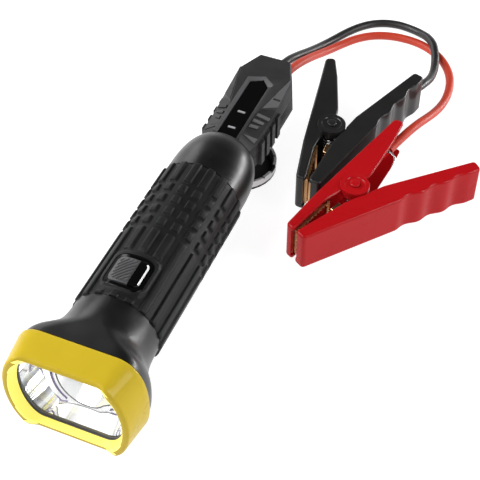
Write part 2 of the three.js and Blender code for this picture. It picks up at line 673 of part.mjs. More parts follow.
add(torch, 'bezel', bezel(), YELLOW);
add(torch, 'lens_gasket', gasket(), RUBBER);
add(torch, 'lens', slab(SEAT, 8.5, 10.3), CLEAR);
add(torch, 'reflector', reflector(), CHROME);
add(torch, 'led_emitter', box([-2.3, 2.3], [39.4, 41.2], [-2.3, 2.3]), LIGHT);
add(torch, 'led_board', rod('y', 13, [41.5, 43.1], [0, 0], 24), BOARD);
add(torch, 'heat_sink', rod('y', 20.8, [43.4, 50], [0, 0], 24), ALUMINIUM);
add(torch, 'head_shell', headShell(), SHELL);
add(torch, 'body_tube', bodyTube(), SHELL);
add(torch, 'grip_sleeve', gripSleeve(), RUBBER);
add(torch, 'button_frame', buttonFrame(), GLOSS);
add(torch, 'power_button', powerButton(), BUTTON);
add(torch, 'switch_board', box([-8, 8], [64, 85], [16, 17.4]), BOARD);
add(torch, 'button_switch', box([-3, 3], [BUTTON_Y - 3, BUTTON_Y + 3], [17.7, 20.9]), GLOSS);
for (let k = 0; k < 3; k += 1) {
  const cell = rod('y', CELL_RADIUS, [CELL_START, CELL_START + CELL_LENGTH], cellCentre(k), 20);
  add(torch, `battery_cell_${k + 1}`, cell, CELL);
}
add(torch, 'cell_link_front', cellLink(88.9, 0, 1), STEEL);
add(torch, 'cell_link_rear', cellLink(155.3, 1, 2), STEEL);
add(torch, 'cell_cap_front', cellCap(86.3, 88.6), SHELL);
add(torch, 'cell_cap_rear', cellCap(156.4, 158.7), SHELL);
add(torch, 'main_board', mainBoard(), BOARD);
add(torch, 'tail_housing', tailHousing(), SHELL);
add(torch, 'output_socket', outputSocket(), GLOSS);
add(torch, 'charge_port', chargePort(), STEEL);
for (const [side, sign] of [[-1, 'negative'], [1, 'positive']]) {
  add(torch, `socket_pin_${sign}`, rod('y', 2.2, [181.3, 195], [side * PIN_SPREAD, 0], 12), BRASS);
}
add(torch, 'cap_hinge_pin', rod('x', 1.2, [-8.2, 8.2], [HINGE_Y, HINGE_Z], 12), STEEL);

const cap = new THREE.Group();
cap.position.set(0, HINGE_Y, HINGE_Z);
cap.rotation.x = -THREE.MathUtils.degToRad(CAP_OPEN);
torch.add(cap);
add(cap, 'tail_cap', tailCap(), SHELL);
add(cap, 'cap_seal', capSeal(), RUBBER);

const [plugTop, plugBottom] = plugHalves();
add(torch, 'plug_top_shell', plugTop, SHELL);
add(torch, 'plug_bottom_shell', plugBottom, SHELL);
add(torch, 'plug_window', plugWindow(), GLOSS);
add(torch, 'plug_indicator_1', box([-2.3, 2.3], [208.3, 209.7], [14, 15]), LIGHT);
add(torch, 'plug_indicator_2', box([-2.3, 2.3], [223.3, 224.7], [14, 15]), LIGHT);
add(torch, 'plug_board', box([-10, 10], [216, 262], [-3.4, -1.8]), BOARD);
add(torch, 'plug_relay', box([-7, 7], [228, 250], [-1.5, 9]), GLOSS);
add(torch, 'plug_connector', plugConnector(), GLOSS);
for (const [side, sign] of [[-1, 'negative'], [1, 'positive']]) {
  add(torch, `plug_contact_${sign}`, contactTube(side * PIN_SPREAD), BRASS);
}
add(torch, 'cable_grommet', cableGrommet(), RUBBER);
PLUG_SCREW_Y.forEach((y, i) => add(torch, `plug_screw_${i + 1}`, plugScrew(y), STEEL));

const leads = new THREE.Group();
leads.position.set(0, FRONT_Y, 0);
pack.add(leads);
add(leads, 'black_cable', lead(BLACK_ROUTE), BLACK_CORD);
add(leads, 'red_cable', lead(RED_ROUTE), RED_CORD);

// The black lead enters its clamp's long handle and the red lead its clamp's short handle.
const CLAMPS = [
  { color: 'black', x: 49, y: 250.8, turn: 87, material: BLACK_CLAMP, leadInLong: true },
  { color: 'red', x: 79.8, y: 205.8, turn: 61, material: RED, leadInLong: false },
];

for (const clamp of CLAMPS) {
  const group = new THREE.Group();
  group.position.set(clamp.x, FRONT_Y + clamp.y, CLAMP_HEIGHT);
  group.rotation.z = THREE.MathUtils.degToRad(clamp.turn);
  pack.add(group);
  add(group, `${clamp.color}_long_handle`, longHandle(clamp.leadInLong), clamp.material);
  add(group, `${clamp.color}_short_handle`, shortHandle(), clamp.material);
  add(group, `${clamp.color}_long_jaw`, jawLiner(-1), COPPER);
  add(group, `${clamp.color}_short_jaw`, jawLiner(1), COPPER);
  add(group, `${clamp.color}_pivot_pin`, pivotPin(), clamp.material);
  add(group, `${clamp.color}_spring`, pivotSpring(clamp.leadInLong), STEEL);
}

export default pack;
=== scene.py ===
import json
import math

import bmesh
import bpy
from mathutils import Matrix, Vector


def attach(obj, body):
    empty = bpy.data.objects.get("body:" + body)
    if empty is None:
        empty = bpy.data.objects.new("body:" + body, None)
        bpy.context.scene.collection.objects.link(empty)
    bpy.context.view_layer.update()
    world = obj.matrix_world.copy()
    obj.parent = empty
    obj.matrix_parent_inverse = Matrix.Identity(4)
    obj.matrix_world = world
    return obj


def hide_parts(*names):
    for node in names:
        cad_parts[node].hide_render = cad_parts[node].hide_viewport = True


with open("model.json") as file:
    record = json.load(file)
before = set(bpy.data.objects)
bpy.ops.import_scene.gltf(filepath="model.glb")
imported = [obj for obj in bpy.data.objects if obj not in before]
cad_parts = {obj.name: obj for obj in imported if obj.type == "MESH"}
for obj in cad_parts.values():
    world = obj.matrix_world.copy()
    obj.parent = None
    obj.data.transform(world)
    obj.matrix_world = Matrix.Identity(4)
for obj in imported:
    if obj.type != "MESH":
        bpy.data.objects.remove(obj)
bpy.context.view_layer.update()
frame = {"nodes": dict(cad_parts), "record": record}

MM = 0.001
AXIS = 28.6  # torch axis above the floor, mm
FRONT = -11.0  # the bezel's front plane, mm
CORD = 5.5  # diameter of a lead, mm
BODY_OF = {n: b for b, held in frame["record"]["behaviour"]["bodies"].items() for n in held}
SLOT_OF = {s["node"]: s["material_slot"] for s in frame["record"]["subparts"]}


def torch(x, y, z):
    """A point given in millimetres from the torch axis and the bezel's front plane."""
    return (x * MM, (y + FRONT) * MM, (z + AXIS) * MM)


# ---- camera ----------------------------------------------------------------------------------
def make_camera():
    """A long lens in front of the torch, to its right and well above it."""
    data = bpy.data.cameras.new("camera")
    data.sensor_width = 36
    data.lens = 88.04
    data.clip_start = 0.01
    camera = bpy.data.objects.new("camera", data)
    camera.location = (0.2100, -0.2839, 0.5086)
    camera.rotation_euler = (math.radians(43), 0, math.radians(23))
    bpy.context.scene.collection.objects.link(camera)
    bpy.context.scene.camera = camera


make_camera()


# ---- materials -------------------------------------------------------------------------------
def blank_material(name):
    """A material with one Principled shader, and the object's own coordinates."""
    mat = bpy.data.materials.new(name)
    mat.use_nodes = True
    tree = mat.node_tree
    tree.nodes.clear()
    out = tree.nodes.new("ShaderNodeOutputMaterial")
    shader = tree.nodes.new("ShaderNodeBsdfPrincipled")
    tree.links.new(shader.outputs[0], out.inputs[0])
    where = tree.nodes.new("ShaderNodeTexCoord")
    return mat, tree, shader, where.outputs["Object"]


def node_of(mat, kind):
    return next(n for n in mat.node_tree.nodes if n.type == kind)


def fill(node, values):
    """Sets sockets of the node itself."""
    for socket, value in values.items():
        node.inputs[socket].default_value = value


def noise(tree, where, scale, detail=3.0, stretch=None):
    if stretch:
        mapping = tree.nodes.new("ShaderNodeMapping")
        fill(mapping, {"Scale": stretch})
        tree.links.new(where, mapping.inputs["Vector"])
        where = mapping.outputs[0]
    node = tree.nodes.new("ShaderNodeTexNoise")
    fill(node, {"Scale": scale, "Detail": detail, "Roughness": 0.55})
    tree.links.new(where, node.inputs["Vector"])
    return node.outputs["Fac"]


def spread(tree, source, low, high):
    """Turns a noise's middle range into values from low to high."""
    node = tree.nodes.new("ShaderNodeMapRange")
    fill(node, {"From Min": 0.3, "From Max": 0.7, "To Min": low, "To Max": high})
    tree.links.new(source, node.inputs["Value"])
    return node.outputs[0]


def tint(tree, source, dark, light):
    """Turns a noise's middle range into colours from dark to light."""
    ramp = tree.nodes.new("ShaderNodeValToRGB")
    ramp.color_ramp.elements[0].position = 0.3
    ramp.color_ramp.elements[0].color = (*dark, 1)
    ramp.color_ramp.elements[1].position = 0.7
    ramp.color_ramp.elements[1].color = (*light, 1)
    tree.links.new(source, ramp.inputs[0])
    return ramp.outputs[0]


def bump(tree, heights, shader):
    """Stacks bumps; each height is (source, strength, depth in mm)."""
    last = None
    for source, strength, depth in heights:
        node = tree.nodes.new("ShaderNodeBump")
        fill(node, {"Strength": strength, "Distance": depth * MM})
        tree.links.new(source, node.inputs["Height"])
        if last:
            tree.links.new(last, node.inputs["Normal"])
        last = node.outputs[0]
    tree.links.new(last, shader.inputs["Normal"])


def finish(name, color, rough, metal=0.0, mottle=0.08, grain=900, strength=0.12, depth=0.02,
           swing=0.06, coat=0.0, stretch=None, cloud=60, spec=0.5, glow=0.0):
    """A moulded or metal surface with colour drift, a fine grain and uneven gloss."""
    mat, tree, shader, where = blank_material(name)
    dark = [c * (1 - mottle) for c in color]
    light = [min(1, c * (1 + mottle)) for c in color]
    broad = noise(tree, where, cloud, stretch=stretch)
    tree.links.new(tint(tree, broad, dark, light), shader.inputs["Base Color"])
    fine = noise(tree, where, grain, detail=2.0, stretch=stretch)
    tree.links.new(spread(tree, broad, rough - swing, rough + swing), shader.inputs["Roughness"])
    bump(tree, [(fine, strength, depth)], shader)
    fill(shader, {"Metallic": metal, "Specular IOR Level": spec})
    # glow paints light into the surface: it gives off light though it is no lamp.
    if glow:
        fill(shader, {"Emission Color": (*color, 1), "Emission Strength": glow})
    if coat:
        fill(shader, {"Coat Weight": coat, "Coat Roughness": 0.12})
    return mat


def glass_finish():
    """Clear moulded plastic with an anti-glare coating."""
    mat, tree, shader, where = blank_material("clear_polycarbonate")
    haze = noise(tree, where, 40)
    tree.links.new(spread(tree, haze, 0.01, 0.03), shader.inputs["Roughness"])
    fill(shader, {"Transmission Weight": 1.0, "Thin Film Thickness": 320, "IOR": 1.3})
    return mat


def glow_finish(name, color, power):
    """A lit diffuser with fine dots."""
    mat, tree, shader, where = blank_material(name)
    dots = noise(tree, where, 2500)
    tree.links.new(tint(tree, dots, [c * 0.9 for c in color], color), shader.inputs["Base Color"])
    fill(shader, {"Emission Color": (*color, 1), "Emission Strength": power, "Roughness": 0.4})
    return mat


def braid_finish():
    """Copper with a crossing weave of fine strands."""
    mat = finish("copper", (0.95, 0.50, 0.24), 0.3, metal=1.0, mottle=0.25, grain=1500, strength=0.2)
    tree = mat.node_tree
    shader = node_of(mat, "BSDF_PRINCIPLED")
    where = node_of(mat, "TEX_COORD").outputs["Object"]
    heights = []
    for turn in (40, -40):
        mapping = tree.nodes.new("ShaderNodeMapping")
        fill(mapping, {"Rotation": [math.radians(a) for a in (20, turn, turn)]})
        tree.links.new(where, mapping.inputs["Vector"])
        wave = tree.nodes.new("ShaderNodeTexWave")
        fill(wave, {"Scale": 260, "Distortion": 1.5})
        tree.links.new(mapping.outputs[0], wave.inputs["Vector"])
        heights.append((wave.outputs["Fac"], 0.6, 0.25))
    bump(tree, heights, shader)
    return mat


def board_finish():
    """Green solder mask over fine copper tracks."""
    mat = finish("circuit_board", (0.02, 0.16, 0.06), 0.35, mottle=0.2, grain=500, coat=0.3)
    tree = mat.node_tree
    shader = node_of(mat, "BSDF_PRINCIPLED")
    where = node_of(mat, "TEX_COORD").outputs["Object"]
    brick = tree.nodes.new("ShaderNodeTexBrick")
    fill(brick, {"Scale": 260, "Color1": (0.02, 0.17, 0.06, 1), "Color2": (0.03, 0.24, 0.09, 1),
                 "Mortar": (0.30, 0.28, 0.08, 1), "Mortar Size": 0.03})
    tree.links.new(where, brick.inputs["Vector"])
    tree.links.new(brick.outputs["Color"], shader.inputs["Base Color"])
    return mat


# Name, colour, roughness and whatever differs from finish's own values.
LOOKS = [
    ("yellow_plastic", (0.50, 0.36, 0.019), 0.3,
     dict(mottle=0.03, grain=1400, strength=0.02, coat=0.2, spec=0.04)),
    ("black_shell", (0.006, 0.006, 0.0065), 0.33, dict(mottle=0.15, grain=1800, strength=0.1, spec=0.42)),
    ("grip_rubber", (0.010, 0.010, 0.0104), 0.46,
     dict(mottle=0.18, grain=1300, strength=0.25, depth=0.04, spec=0.14)),
    ("button_plastic", (0.075, 0.075, 0.08), 0.3, dict(mottle=0.1, grain=1500, strength=0.1)),
    ("gloss_black", (0.002, 0.002, 0.002), 0.1,
     dict(mottle=0.1, grain=700, strength=0.03, swing=0.03, spec=0.35)),
    # reflector_chrome's glow is painted light: the mirror gives off a little light of its own, though it
    # is no lamp.
    ("reflector_chrome", (0.95, 0.96, 0.97), 0.05,
     dict(metal=1.0, mottle=0.02, grain=300, strength=0.02, swing=0.02, glow=0.1)),
    ("heat_aluminium", (0.62, 0.63, 0.65), 0.3, dict(metal=1.0, grain=500, stretch=(1, 20, 1))),
    ("cell_wrap", (0.03, 0.16, 0.50), 0.3, dict(grain=400, coat=0.4)),
    ("contact_brass", (0.75, 0.52, 0.18), 0.22, dict(metal=1.0, grain=800, stretch=(1, 12, 1))),
    ("steel", (0.66, 0.66, 0.67), 0.22, dict(metal=1.0, mottle=0.05)),
    ("red_plastic", (0.37, 0.0055, 0.008), 0.3,
     dict(mottle=0.03, grain=1000, strength=0.015, spec=0.02, coat=0.3)),
    ("black_plastic", (0.015, 0.0142, 0.0142), 0.34,
     dict(grain=1000, strength=0.015, spec=0.1, coat=0.42)),
    ("red_insulation", (0.47, 0.042, 0.02), 0.42, dict(mottle=0.06, grain=700, cloud=90, spec=0.3)),
    ("black_insulation", (0.013, 0.0125, 0.0125), 0.42,
     dict(mottle=0.15, grain=700, strength=0.15, cloud=90)),
]
FINISHES = {name: finish(name, color, rough, **more) for name, color, rough, more in LOOKS}
FINISHES["clear_lens"] = glass_finish()
FINISHES["light_white"] = glow_finish("lit_diffuser", (1.0, 0.98, 0.9), 12.0)
FINISHES["circuit_board"] = board_finish()
FINISHES["jaw_copper"] = braid_finish()
LUG = finish("bright_copper", (0.92, 0.55, 0.30), 0.2, metal=1.0, grain=600)
PILOT = glow_finish("pilot_bar", (0.30, 0.30, 0.31), 0.08)
# A painted glow: the bezel's throat gives off light, as if the torch's beam spilled onto it.
PAINTED_GLOW_RIM = finish("painted_glow_rim", (0.98, 0.86, 0.17), 0.3, mottle=0.02, grain=1400, strength=0.06, glow=0.4)
# A painted glow: the bowl gives off light of its own, as though the torch were on.
PAINTED_GLOW_BOWL = finish("painted_glow_bowl", (0.97, 0.97, 0.96), 0.10, metal=1.0, mottle=0.02, grain=300,
                  strength=0.02, glow=0.9)
SILICONE = finish("lens_silicone", (0.15, 0.15, 0.155), 0.22, mottle=0.1, strength=0.05)
# A light grey painted highlight: it stands for the gleam on the cap's glossy black edge and on the
# button's right edge.
RIM_HIGHLIGHT = finish("painted_rim_highlight", (0.78, 0.78, 0.79), 0.32, mottle=0.05, strength=0.05)
# Dark grey of the plug's panels; on the left side's toe, louvres and wedge it is painted shade.
PANEL = finish("plug_panel", (0.011, 0.0105, 0.0105), 0.4, mottle=0.1, grain=1200, strength=0.1,
               spec=0.25)
# Purple painted onto the reflector: a painted reflection of the lens coating's tint.
COATING_REFLECTION = finish("painted_coating_reflection", (0.13, 0.03, 0.30), 0.15, mottle=0.3, strength=0.02)
PLUG = finish("plug_plastic", (0.026, 0.025, 0.026), 0.42, mottle=0.1, grain=1200, spec=0.24)
# A lighter grey; on the plug's right side trim it is painted light.
LOUVRE = finish("louvre_plastic", (0.085, 0.083, 0.086), 0.4, grain=1200, spec=0.3)
# Lighter grey than the gloss black beside it: a painted reflection of the light on the button's left part.
PAD_SHEEN = finish("button_pad_sheen", (0.058, 0.058, 0.061), 0.35, mottle=0.1, grain=1500, strength=0.1)


# ---- making pieces ---------------------------------------------------------------------------
def clean_mesh(name, vertices, faces):
    mesh = bpy.data.meshes.new(name)
    mesh.from_pydata(vertices, [], faces)
    shaped = bmesh.new()
    shaped.from_mesh(mesh)
    bmesh.ops.remove_doubles(shaped, verts=shaped.verts, dist=1e-7)
    bmesh.ops.recalc_face_normals(shaped, faces=shaped.faces)
    shaped.to_mesh(mesh)
    shaped.free()
    return mesh


def shade(mesh, sharp):
    """Smooth faces, with a hard edge wherever two of them meet at more than sharp degrees."""
    mesh.polygons.foreach_set("use_smooth", [True] * len(mesh.polygons))
    mesh.set_sharp_from_angle(angle=math.radians(sharp))


def as_node(node):
    """The slot, the body and the replaced nodes of a piece that stands for one CAD node."""
    return SLOT_OF[node], BODY_OF[node], [node]


def dress(obj, slot, body, replaced=(), sharp=32, mat=None):
    """Puts an object in the scene with its finish, its body and the nodes that it stands for."""
    bpy.context.scene.collection.objects.link(obj)
    if obj.type == "MESH":
        shade(obj.data, sharp)
    obj.data.materials.append(mat or FINISHES[slot])
    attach(obj, body)
    if replaced:
        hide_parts(*replaced)
    return obj


def piece(name, vertices, faces, slot, body, replaced=(), sharp=32, mat=None):
    mesh = clean_mesh(name, vertices, faces)
    return dress(bpy.data.objects.new(name, mesh), slot, body, replaced, sharp, mat)


def soften(obj, width, segments):
    """Bevels the edges that are sharper than 28 degrees; width is in mm."""
    mod = obj.modifiers.new("edge", "BEVEL")
    mod.width = width * MM
    mod.segments = segments
    mod.limit_method = "ANGLE"
    mod.angle_limit = math.radians(28)
    mod.harden_normals = True
    return obj


def refined(node, name, bevel, segments, mat=None):
    """A copy of a CAD node with merged faces and softened edges, which stands for the node."""
    shaped = bmesh.new()
    shaped.from_mesh(frame["nodes"][node].data)
    bmesh.ops.remove_doubles(shaped, verts=shaped.verts, dist=1e-6)
    bmesh.ops.dissolve_limit(shaped, angle_limit=math.radians(1), verts=shaped.verts, edges=shaped.edges)
    mesh = bpy.data.meshes.new(name)
    shaped.to_mesh(mesh)
    shaped.free()
    obj = dress(bpy.data.objects.new(name, mesh), *as_node(node), mat=mat)
    return soften(obj, bevel, segments)


def loop_faces(rings, count, closed):
    faces = []
    total = len(rings)
    for k in range(total if closed else total - 1):
        here, there = k * count, ((k + 1) % total) * count
        for i in range(count):
            j = (i + 1) % count
            faces.append((here + i, here + j, there + j, there + i))
    return faces


def skin(rings, closed=False):
    """Quads over rings of equally many points; closed joins the last ring to the first."""
    count = len(rings[0])
    vertices = [p for ring in rings for p in ring]
    faces = loop_faces(rings, count, closed)
    if not closed:
        faces.append(tuple(reversed(range(count))))
        faces.append(tuple(range((len(rings) - 1) * count, len(rings) * count)))
    return vertices, faces


def outline(width, height, flat, power, inset=0.0):
    """Half-straight, half-superellipse outline across the torch, as (x, z) in mm."""
    steps = 22
    quarter = [(flat * t, height - inset) for t in (0, 0.25, 0.5, 0.75, 0.9)]
    for i in range(steps + 1):
        angle = i / steps * math.pi / 2
        across = math.sin(angle) ** (2 / power)
        up = 0 if i == steps else math.cos(angle) ** (2 / power)
        quarter.append((flat + (width - inset - flat) * across, (height - inset) * up))
    back = quarter[1:-1][::-1]
    right = quarter + [(x, -z) for x, z in back + quarter[:1]]
    return right + [(-x, -z) for x, z in quarter[1:]] + [(-x, z) for x, z in back]


def section(y, shape, inset=0.0, lift=None):
    """The outline as a ring of points at y, or at lift(x, y) where the rim isn't flat."""
    points = outline(*shape, inset=inset)
    return [torch(x, lift(x, y) if lift else y, z) for x, z in points]


def round_wire(name, points, radius, resolution):
    """A curve object through points in metres; radius is in mm."""
    curve = bpy.data.curves.new(name, "CURVE")
    curve.dimensions = "3D"
    spline = curve.splines.new("POLY")
    spline.points.add(len(points) - 1)
    for point, place in zip(spline.points, points):
        point.co = (*place, 1)
    spline.use_smooth = True
    curve.bevel_depth = radius * MM
    curve.bevel_resolution = resolution
    curve.use_fill_caps = True
    return bpy.data.objects.new(name, curve)


def wire(name, points, radius, slot, body, replaced=(), mat=None):
    return dress(round_wire(name, points, radius, 4), slot, body, replaced, mat=mat)


def circle(radius, sides):
    """Points (across, up) of a circle that starts at its top."""
    turns = [2 * math.pi * i / sides for i in range(sides)]
    return [(radius * math.sin(a), radius * math.cos(a)) for a in turns]


def smooth_path(keys, steps):
    """Catmull-Rom through rows of numbers."""
    rows = []
    for k in range(len(keys) - 1):
        p0, p1 = keys[max(k - 1, 0)], keys[k]
        p2, p3 = keys[k + 1], keys[min(k + 2, len(keys) - 1)]
        for i in range(steps):
            t = i / steps
            rows.append([0.5 * (2 * b + (c - a) * t + (2 * a - 5 * b + 4 * c - d) * t * t
                                + (3 * b - a - 3 * c + d) * t ** 3)
                         for a, b, c, d in zip(p0, p1, p2, p3)])
    return rows + [list(keys[-1])]


def ease(value, low, high):
    """Rises smoothly from 0 at low to 1 at high."""
    t = min(1.0, max(0.0, (value - low) / (high - low)))
    return t * t * (3 - 2 * t)


# ---- shaping solids --------------------------------------------------------------------------
CUT, JOIN = "DIFFERENCE", "UNION"


def raw_object(name, vertices, faces):
    obj = bpy.data.objects.new(name, clean_mesh(name, vertices, faces))
    bpy.context.scene.collection.objects.link(obj)
    return obj


def worked_mesh(obj, steps):
    """The mesh of obj once each (operation, solid) step has joined or cut one more solid."""
    tools = []
    for operation, part in steps:
        tool = raw_object("tool", *part)
        mod = obj.modifiers.new("shape", "BOOLEAN")
        mod.operation = operation
        mod.solver = "EXACT"
        mod.object = tool
        tools.append(tool)
    bpy.context.view_layer.update()
    evaluated = obj.evaluated_get(bpy.context.evaluated_depsgraph_get())
    mesh = bpy.data.meshes.new_from_object(evaluated)
    obj.modifiers.clear()
    for tool in tools:
        bpy.data.objects.remove(tool)
    return mesh


def sculpted(name, base, steps, slot, body, replaced=(), sharp=35, mat=None):
    """base is (vertices, faces); the steps are worked_mesh's, and their seams are cleaned up."""
    obj = raw_object(name, *base)
    mesh = worked_mesh(obj, steps)
    mesh.materials.clear()
    bpy.data.objects.remove(obj)
    shaped = bmesh.new()
    shaped.from_mesh(mesh)
    bmesh.ops.remove_doubles(shaped, verts=shaped.verts, dist=2e-6)
    bmesh.ops.dissolve_degenerate(shaped, edges=shaped.edges, dist=1e-6)
    bmesh.ops.dissolve_limit(shaped, angle_limit=math.radians(0.4), verts=shaped.verts, edges=shaped.edges)
    shaped.to_mesh(mesh)
    shaped.free()
    made = dress(bpy.data.objects.new(name, mesh), slot, body, replaced, sharp, mat)
    weigh = made.modifiers.new("normals", "WEIGHTED_NORMAL")
    weigh.keep_sharp = True
    weigh.weight = 100
    return made


def extruded(points, low, high, place):
    return skin([[place(x, y, z) for x, y in points] for z in (low, high)])


def block(x, y, z, place=torch):
    """A box from three (low, high) pairs."""
    return extruded([(x[0], y[0]), (x[1], y[0]), (x[1], y[1]), (x[0], y[1])], z[0], z[1], place)


def filleted(points, radius):
    """Rounds a polygon's corners; radius is one number or one for each corner."""
    steps = 5
    made = []
    for i, (x, y) in enumerate(points):
        (px, py), (nx, ny) = points[i - 1], points[(i + 1) % len(points)]
        before, after = math.dist((x, y), (px, py)), math.dist((x, y), (nx, ny))
        size = radius[i] if isinstance(radius, list) else radius
        size = min(size, 0.48 * before, 0.48 * after)
        ux, uy, vx, vy = (px - x) / before, (py - y) / before, (nx - x) / after, (ny - y) / after
        if ux * vx + uy * vy < -0.985 or size < 0.05:
            made.append((x, y))
            continue
        for k in range(steps + 1):
            t = k / steps
            a, c = (1 - t) ** 2 * size, t * t * size
            made.append((x + ux * a + vx * c, y + uy * a + vy * c))
    return made


def shrunk(points, amount):
    """The outline moved inwards by amount, which is less than the radius of its corners."""
    count = len(points)
    area2 = sum(points[i - 1][0] * points[i][1] - points[i][0] * points[i - 1][1] for i in range(count))
    sign = 1 if area2 > 0 else -1
    made = []
    for i, (x, y) in enumerate(points):
        (px, py), (nx, ny) = points[i - 1], points[(i + 1) % count]
        ax, ay, bx, by = x - px, y - py, nx - x, ny - y
        la, lb = math.hypot(ax, ay) or 1, math.hypot(bx, by) or 1
        mx, my = -(ay / la + by / lb) * sign, (ax / la + bx / lb) * sign
        length = math.hypot(mx, my) or 1
        spread_by = min(1.5, 2 / length)
        made.append((x + mx / length * amount * spread_by, y + my / length * amount * spread_by))
    return made


def pillow(points, half, radius, place):
    """A prism whose rims are rounded over."""
    steps = 5
    levels = []
    for k in range(steps + 1):
        a = math.pi / 2 * k / steps
        levels.append((half - radius + radius * math.sin(a), radius * (1 - math.cos(a))))
    stack = [(-z, inset) for z, inset in reversed(levels)] + levels
    rings = []
    for z, inset in stack:
        rings.append([place(x, y, z) for x, y in (shrunk(points, inset) if inset > 1e-6 else points)])
    return skin(rings)


def disc(profile, place):
    """Rings round a clamp's pivot from (radius, z) pairs, closed at both ends."""
    return skin([[place(x, y, z) for y, x in circle(radius, 56)] for radius, z in profile])


# ---- the two leads ---------------------------------------------------------------------------
# Route points in mm, from the bezel's front plane and the floor.
BLACK_ROUTE = [
    (-3.6, 276.5, 24.6), (-3.6, 286, 24.6), (-2.9, 297, 23.8), (-1.2, 308.5, 21.4), (1, 320, 17.4),
    (3.6, 332, 12.6), (6.2, 344.5, 8), (9, 355.5, 4.8), (12.6, 366, 3.1), (17.3, 375.5, 2.8),
    (23, 384, 2.8), (30, 391, 2.8), (38.5, 395.6, 2.8), (48, 397.4, 2.8), (57.5, 396, 3.1),
    (66, 391.6, 4.7), (73, 385, 7.3), (78.6, 377, 8.9), (82.8, 368, 7.8), (85.6, 358, 6.6),
    (87, 348, 7.6), (87.2, 338, 10.4), (85.9, 328, 13.6), (83.4, 318.4, 15.2), (79.9, 308.2, 15.3),
]
RED_ROUTE = [
    (3.6, 276.5, 24.6), (3.6, 286, 24.6), (4.2, 296, 23.6), (5.7, 307, 21), (7.5, 318.5, 17.1),
    (9.5, 330, 12.6), (11.8, 341, 8.2), (14.8, 351.5, 4.9), (18.8, 361, 3.1), (24.2, 369, 2.8),
    (31, 375.6, 2.8), (39, 380.4, 2.8), (48, 383.1, 2.8), (57.5, 383.8, 2.8), (67, 382.6, 2.8),
    (76, 379.2, 2.8), (84.3, 373.6, 2.8), (91.3, 366, 2.8), (96.6, 357, 2.8), (99.9, 346.5, 2.9),
    (101.3, 335, 3.4), (101.1, 323, 5), (99.6, 311, 7.8), (97.2, 299.5, 11), (94.3, 288.5, 13.7),
    (91.4, 278, 15.1), (88.3, 267.2, 15.3), (85.3, 256.5, 15.3),
]


def lead(name, route, node):
    """A round cord from inside the plug's grommet to its clamp."""
    line = [(x * MM, (y + FRONT) * MM, z * MM) for x, y, z in smooth_path(route, 6)]
    obj = dress(round_wire(name, line, CORD / 2, 6), *as_node(node))
    length = sum(math.dist(a, b) for a, b in zip(line, line[1:]))


lead("black_lead", BLACK_ROUTE, "black_cable")
lead("red_lead", RED_ROUTE, "red_cable")


# ---- head ------------------------------------------------------------------------------------
# Outlines: half width, half height, half length of the straight top, and the corners' power.
BEZEL_FRONT = (35.3, 28.6, 22, 1.9)
BEZEL_REAR = (37.1, 28.6, 20, 2.4)
BEZEL_DEPTH = 20.8
MOUTH = (31.4, 25.2, 18, 2.0)
THROAT = (29.8, 24.0, 18, 2.0)
POCKET = (34.6, 26.4, 19, 2.2)
LENS_SEAT = (34.2, 26, 19, 2.2)
SEAT_Y = 6.2
SCOOP_DEPTH = 2.2
BOWL_RADIUS = 21.8


def mixed(a, b, t):
    return tuple(p + (q - p) * t for p, q in zip(a, b))


def scoop(x):
    """How far the top and bottom rims stand back from the two side lobes."""
    return SCOOP_DEPTH * (1 - ease(abs(x), 19.5, 26.5))


def scooped(x, y):
    return y + scoop(x) * (1 - ease(y, 1.5, 12))


def scooped_inside(x, y):
    return y + scoop(x) * (1 - y / SEAT_Y)


def paint_glow_on(obj, mat, chosen):
    """Gives mat, a painted glow, to the faces that chosen(normal, x, y, z) picks, in mm from the front and
    the axis.
    """
    obj.data.materials.append(mat)
    for face in obj.data.polygons:
        x, y, z = (value / MM for value in face.center)
        if chosen(face.normal, x, y - FRONT, z - AXIS):
            face.material_index = 1


def bezel():
    rings = [section(0, BEZEL_FRONT, 1.7, scooped)]
    for y, inset in ((0.12, 1.1), (0.45, 0.5), (0.95, 0.12), (1.5, 0)):
        rings.append(section(y, BEZEL_FRONT, inset, scooped))
    for i in range(1, 9):
        t = i / 8
        rings.append(section(1.5 + 17.8 * t, mixed(BEZEL_FRONT, BEZEL_REAR, t), 0, scooped))
    for y, inset in ((20.1, 0.12), (20.6, 0.5), (BEZEL_DEPTH, 1.1)):
        rings.append(section(y, BEZEL_REAR, inset))
    rings.append(section(BEZEL_DEPTH, POCKET))
    rings.append(section(SEAT_Y, POCKET))
    rings.append(section(SEAT_Y, THROAT))
    for t in (0.75, 0.5, 0.25):
        rings.append(section(SEAT_Y * t + 0.9 * (1 - t), mixed(MOUTH, THROAT, t), 0, scooped_inside))
    for y, inset in ((0.9, 0), (0.4, -0.15), (0.1, -0.5), (0, -1.0)):
        rings.append(section(y, MOUTH, inset, scooped_inside))

    # in_throat picks the bezel's inner faces, which get the painted glow.
    def in_throat(normal, x, y, z):
        return y < SEAT_Y + 0.1 and normal.x * x + normal.z * z < -0.2 * math.hypot(x, z)

    obj = piece("bezel_ring", *skin(rings, closed=True), *as_node("bezel"), sharp=40)
    paint_glow_on(obj, PAINTED_GLOW_RIM, in_throat)


def lens():
    rings = [section(8.5, LENS_SEAT, 0.4), section(8.7, LENS_SEAT),
             section(10.1, LENS_SEAT), section(10.3, LENS_SEAT, 0.3)]
    piece("lens_glass", *skin(rings), *as_node("lens"))


def gasket():
    """Only a thin lip shows between the bezel and the lens."""
    rings = [section(6.5, LENS_SEAT), section(8.2, LENS_SEAT), section(8.2, THROAT, 0.1),
             section(7.7, THROAT, 0.1), section(7.4, THROAT, -1), section(6.5, THROAT, -1)]
    piece("gasket_ring", *skin(rings, closed=True), *as_node("lens_gasket"), sharp=40, mat=SILICONE)


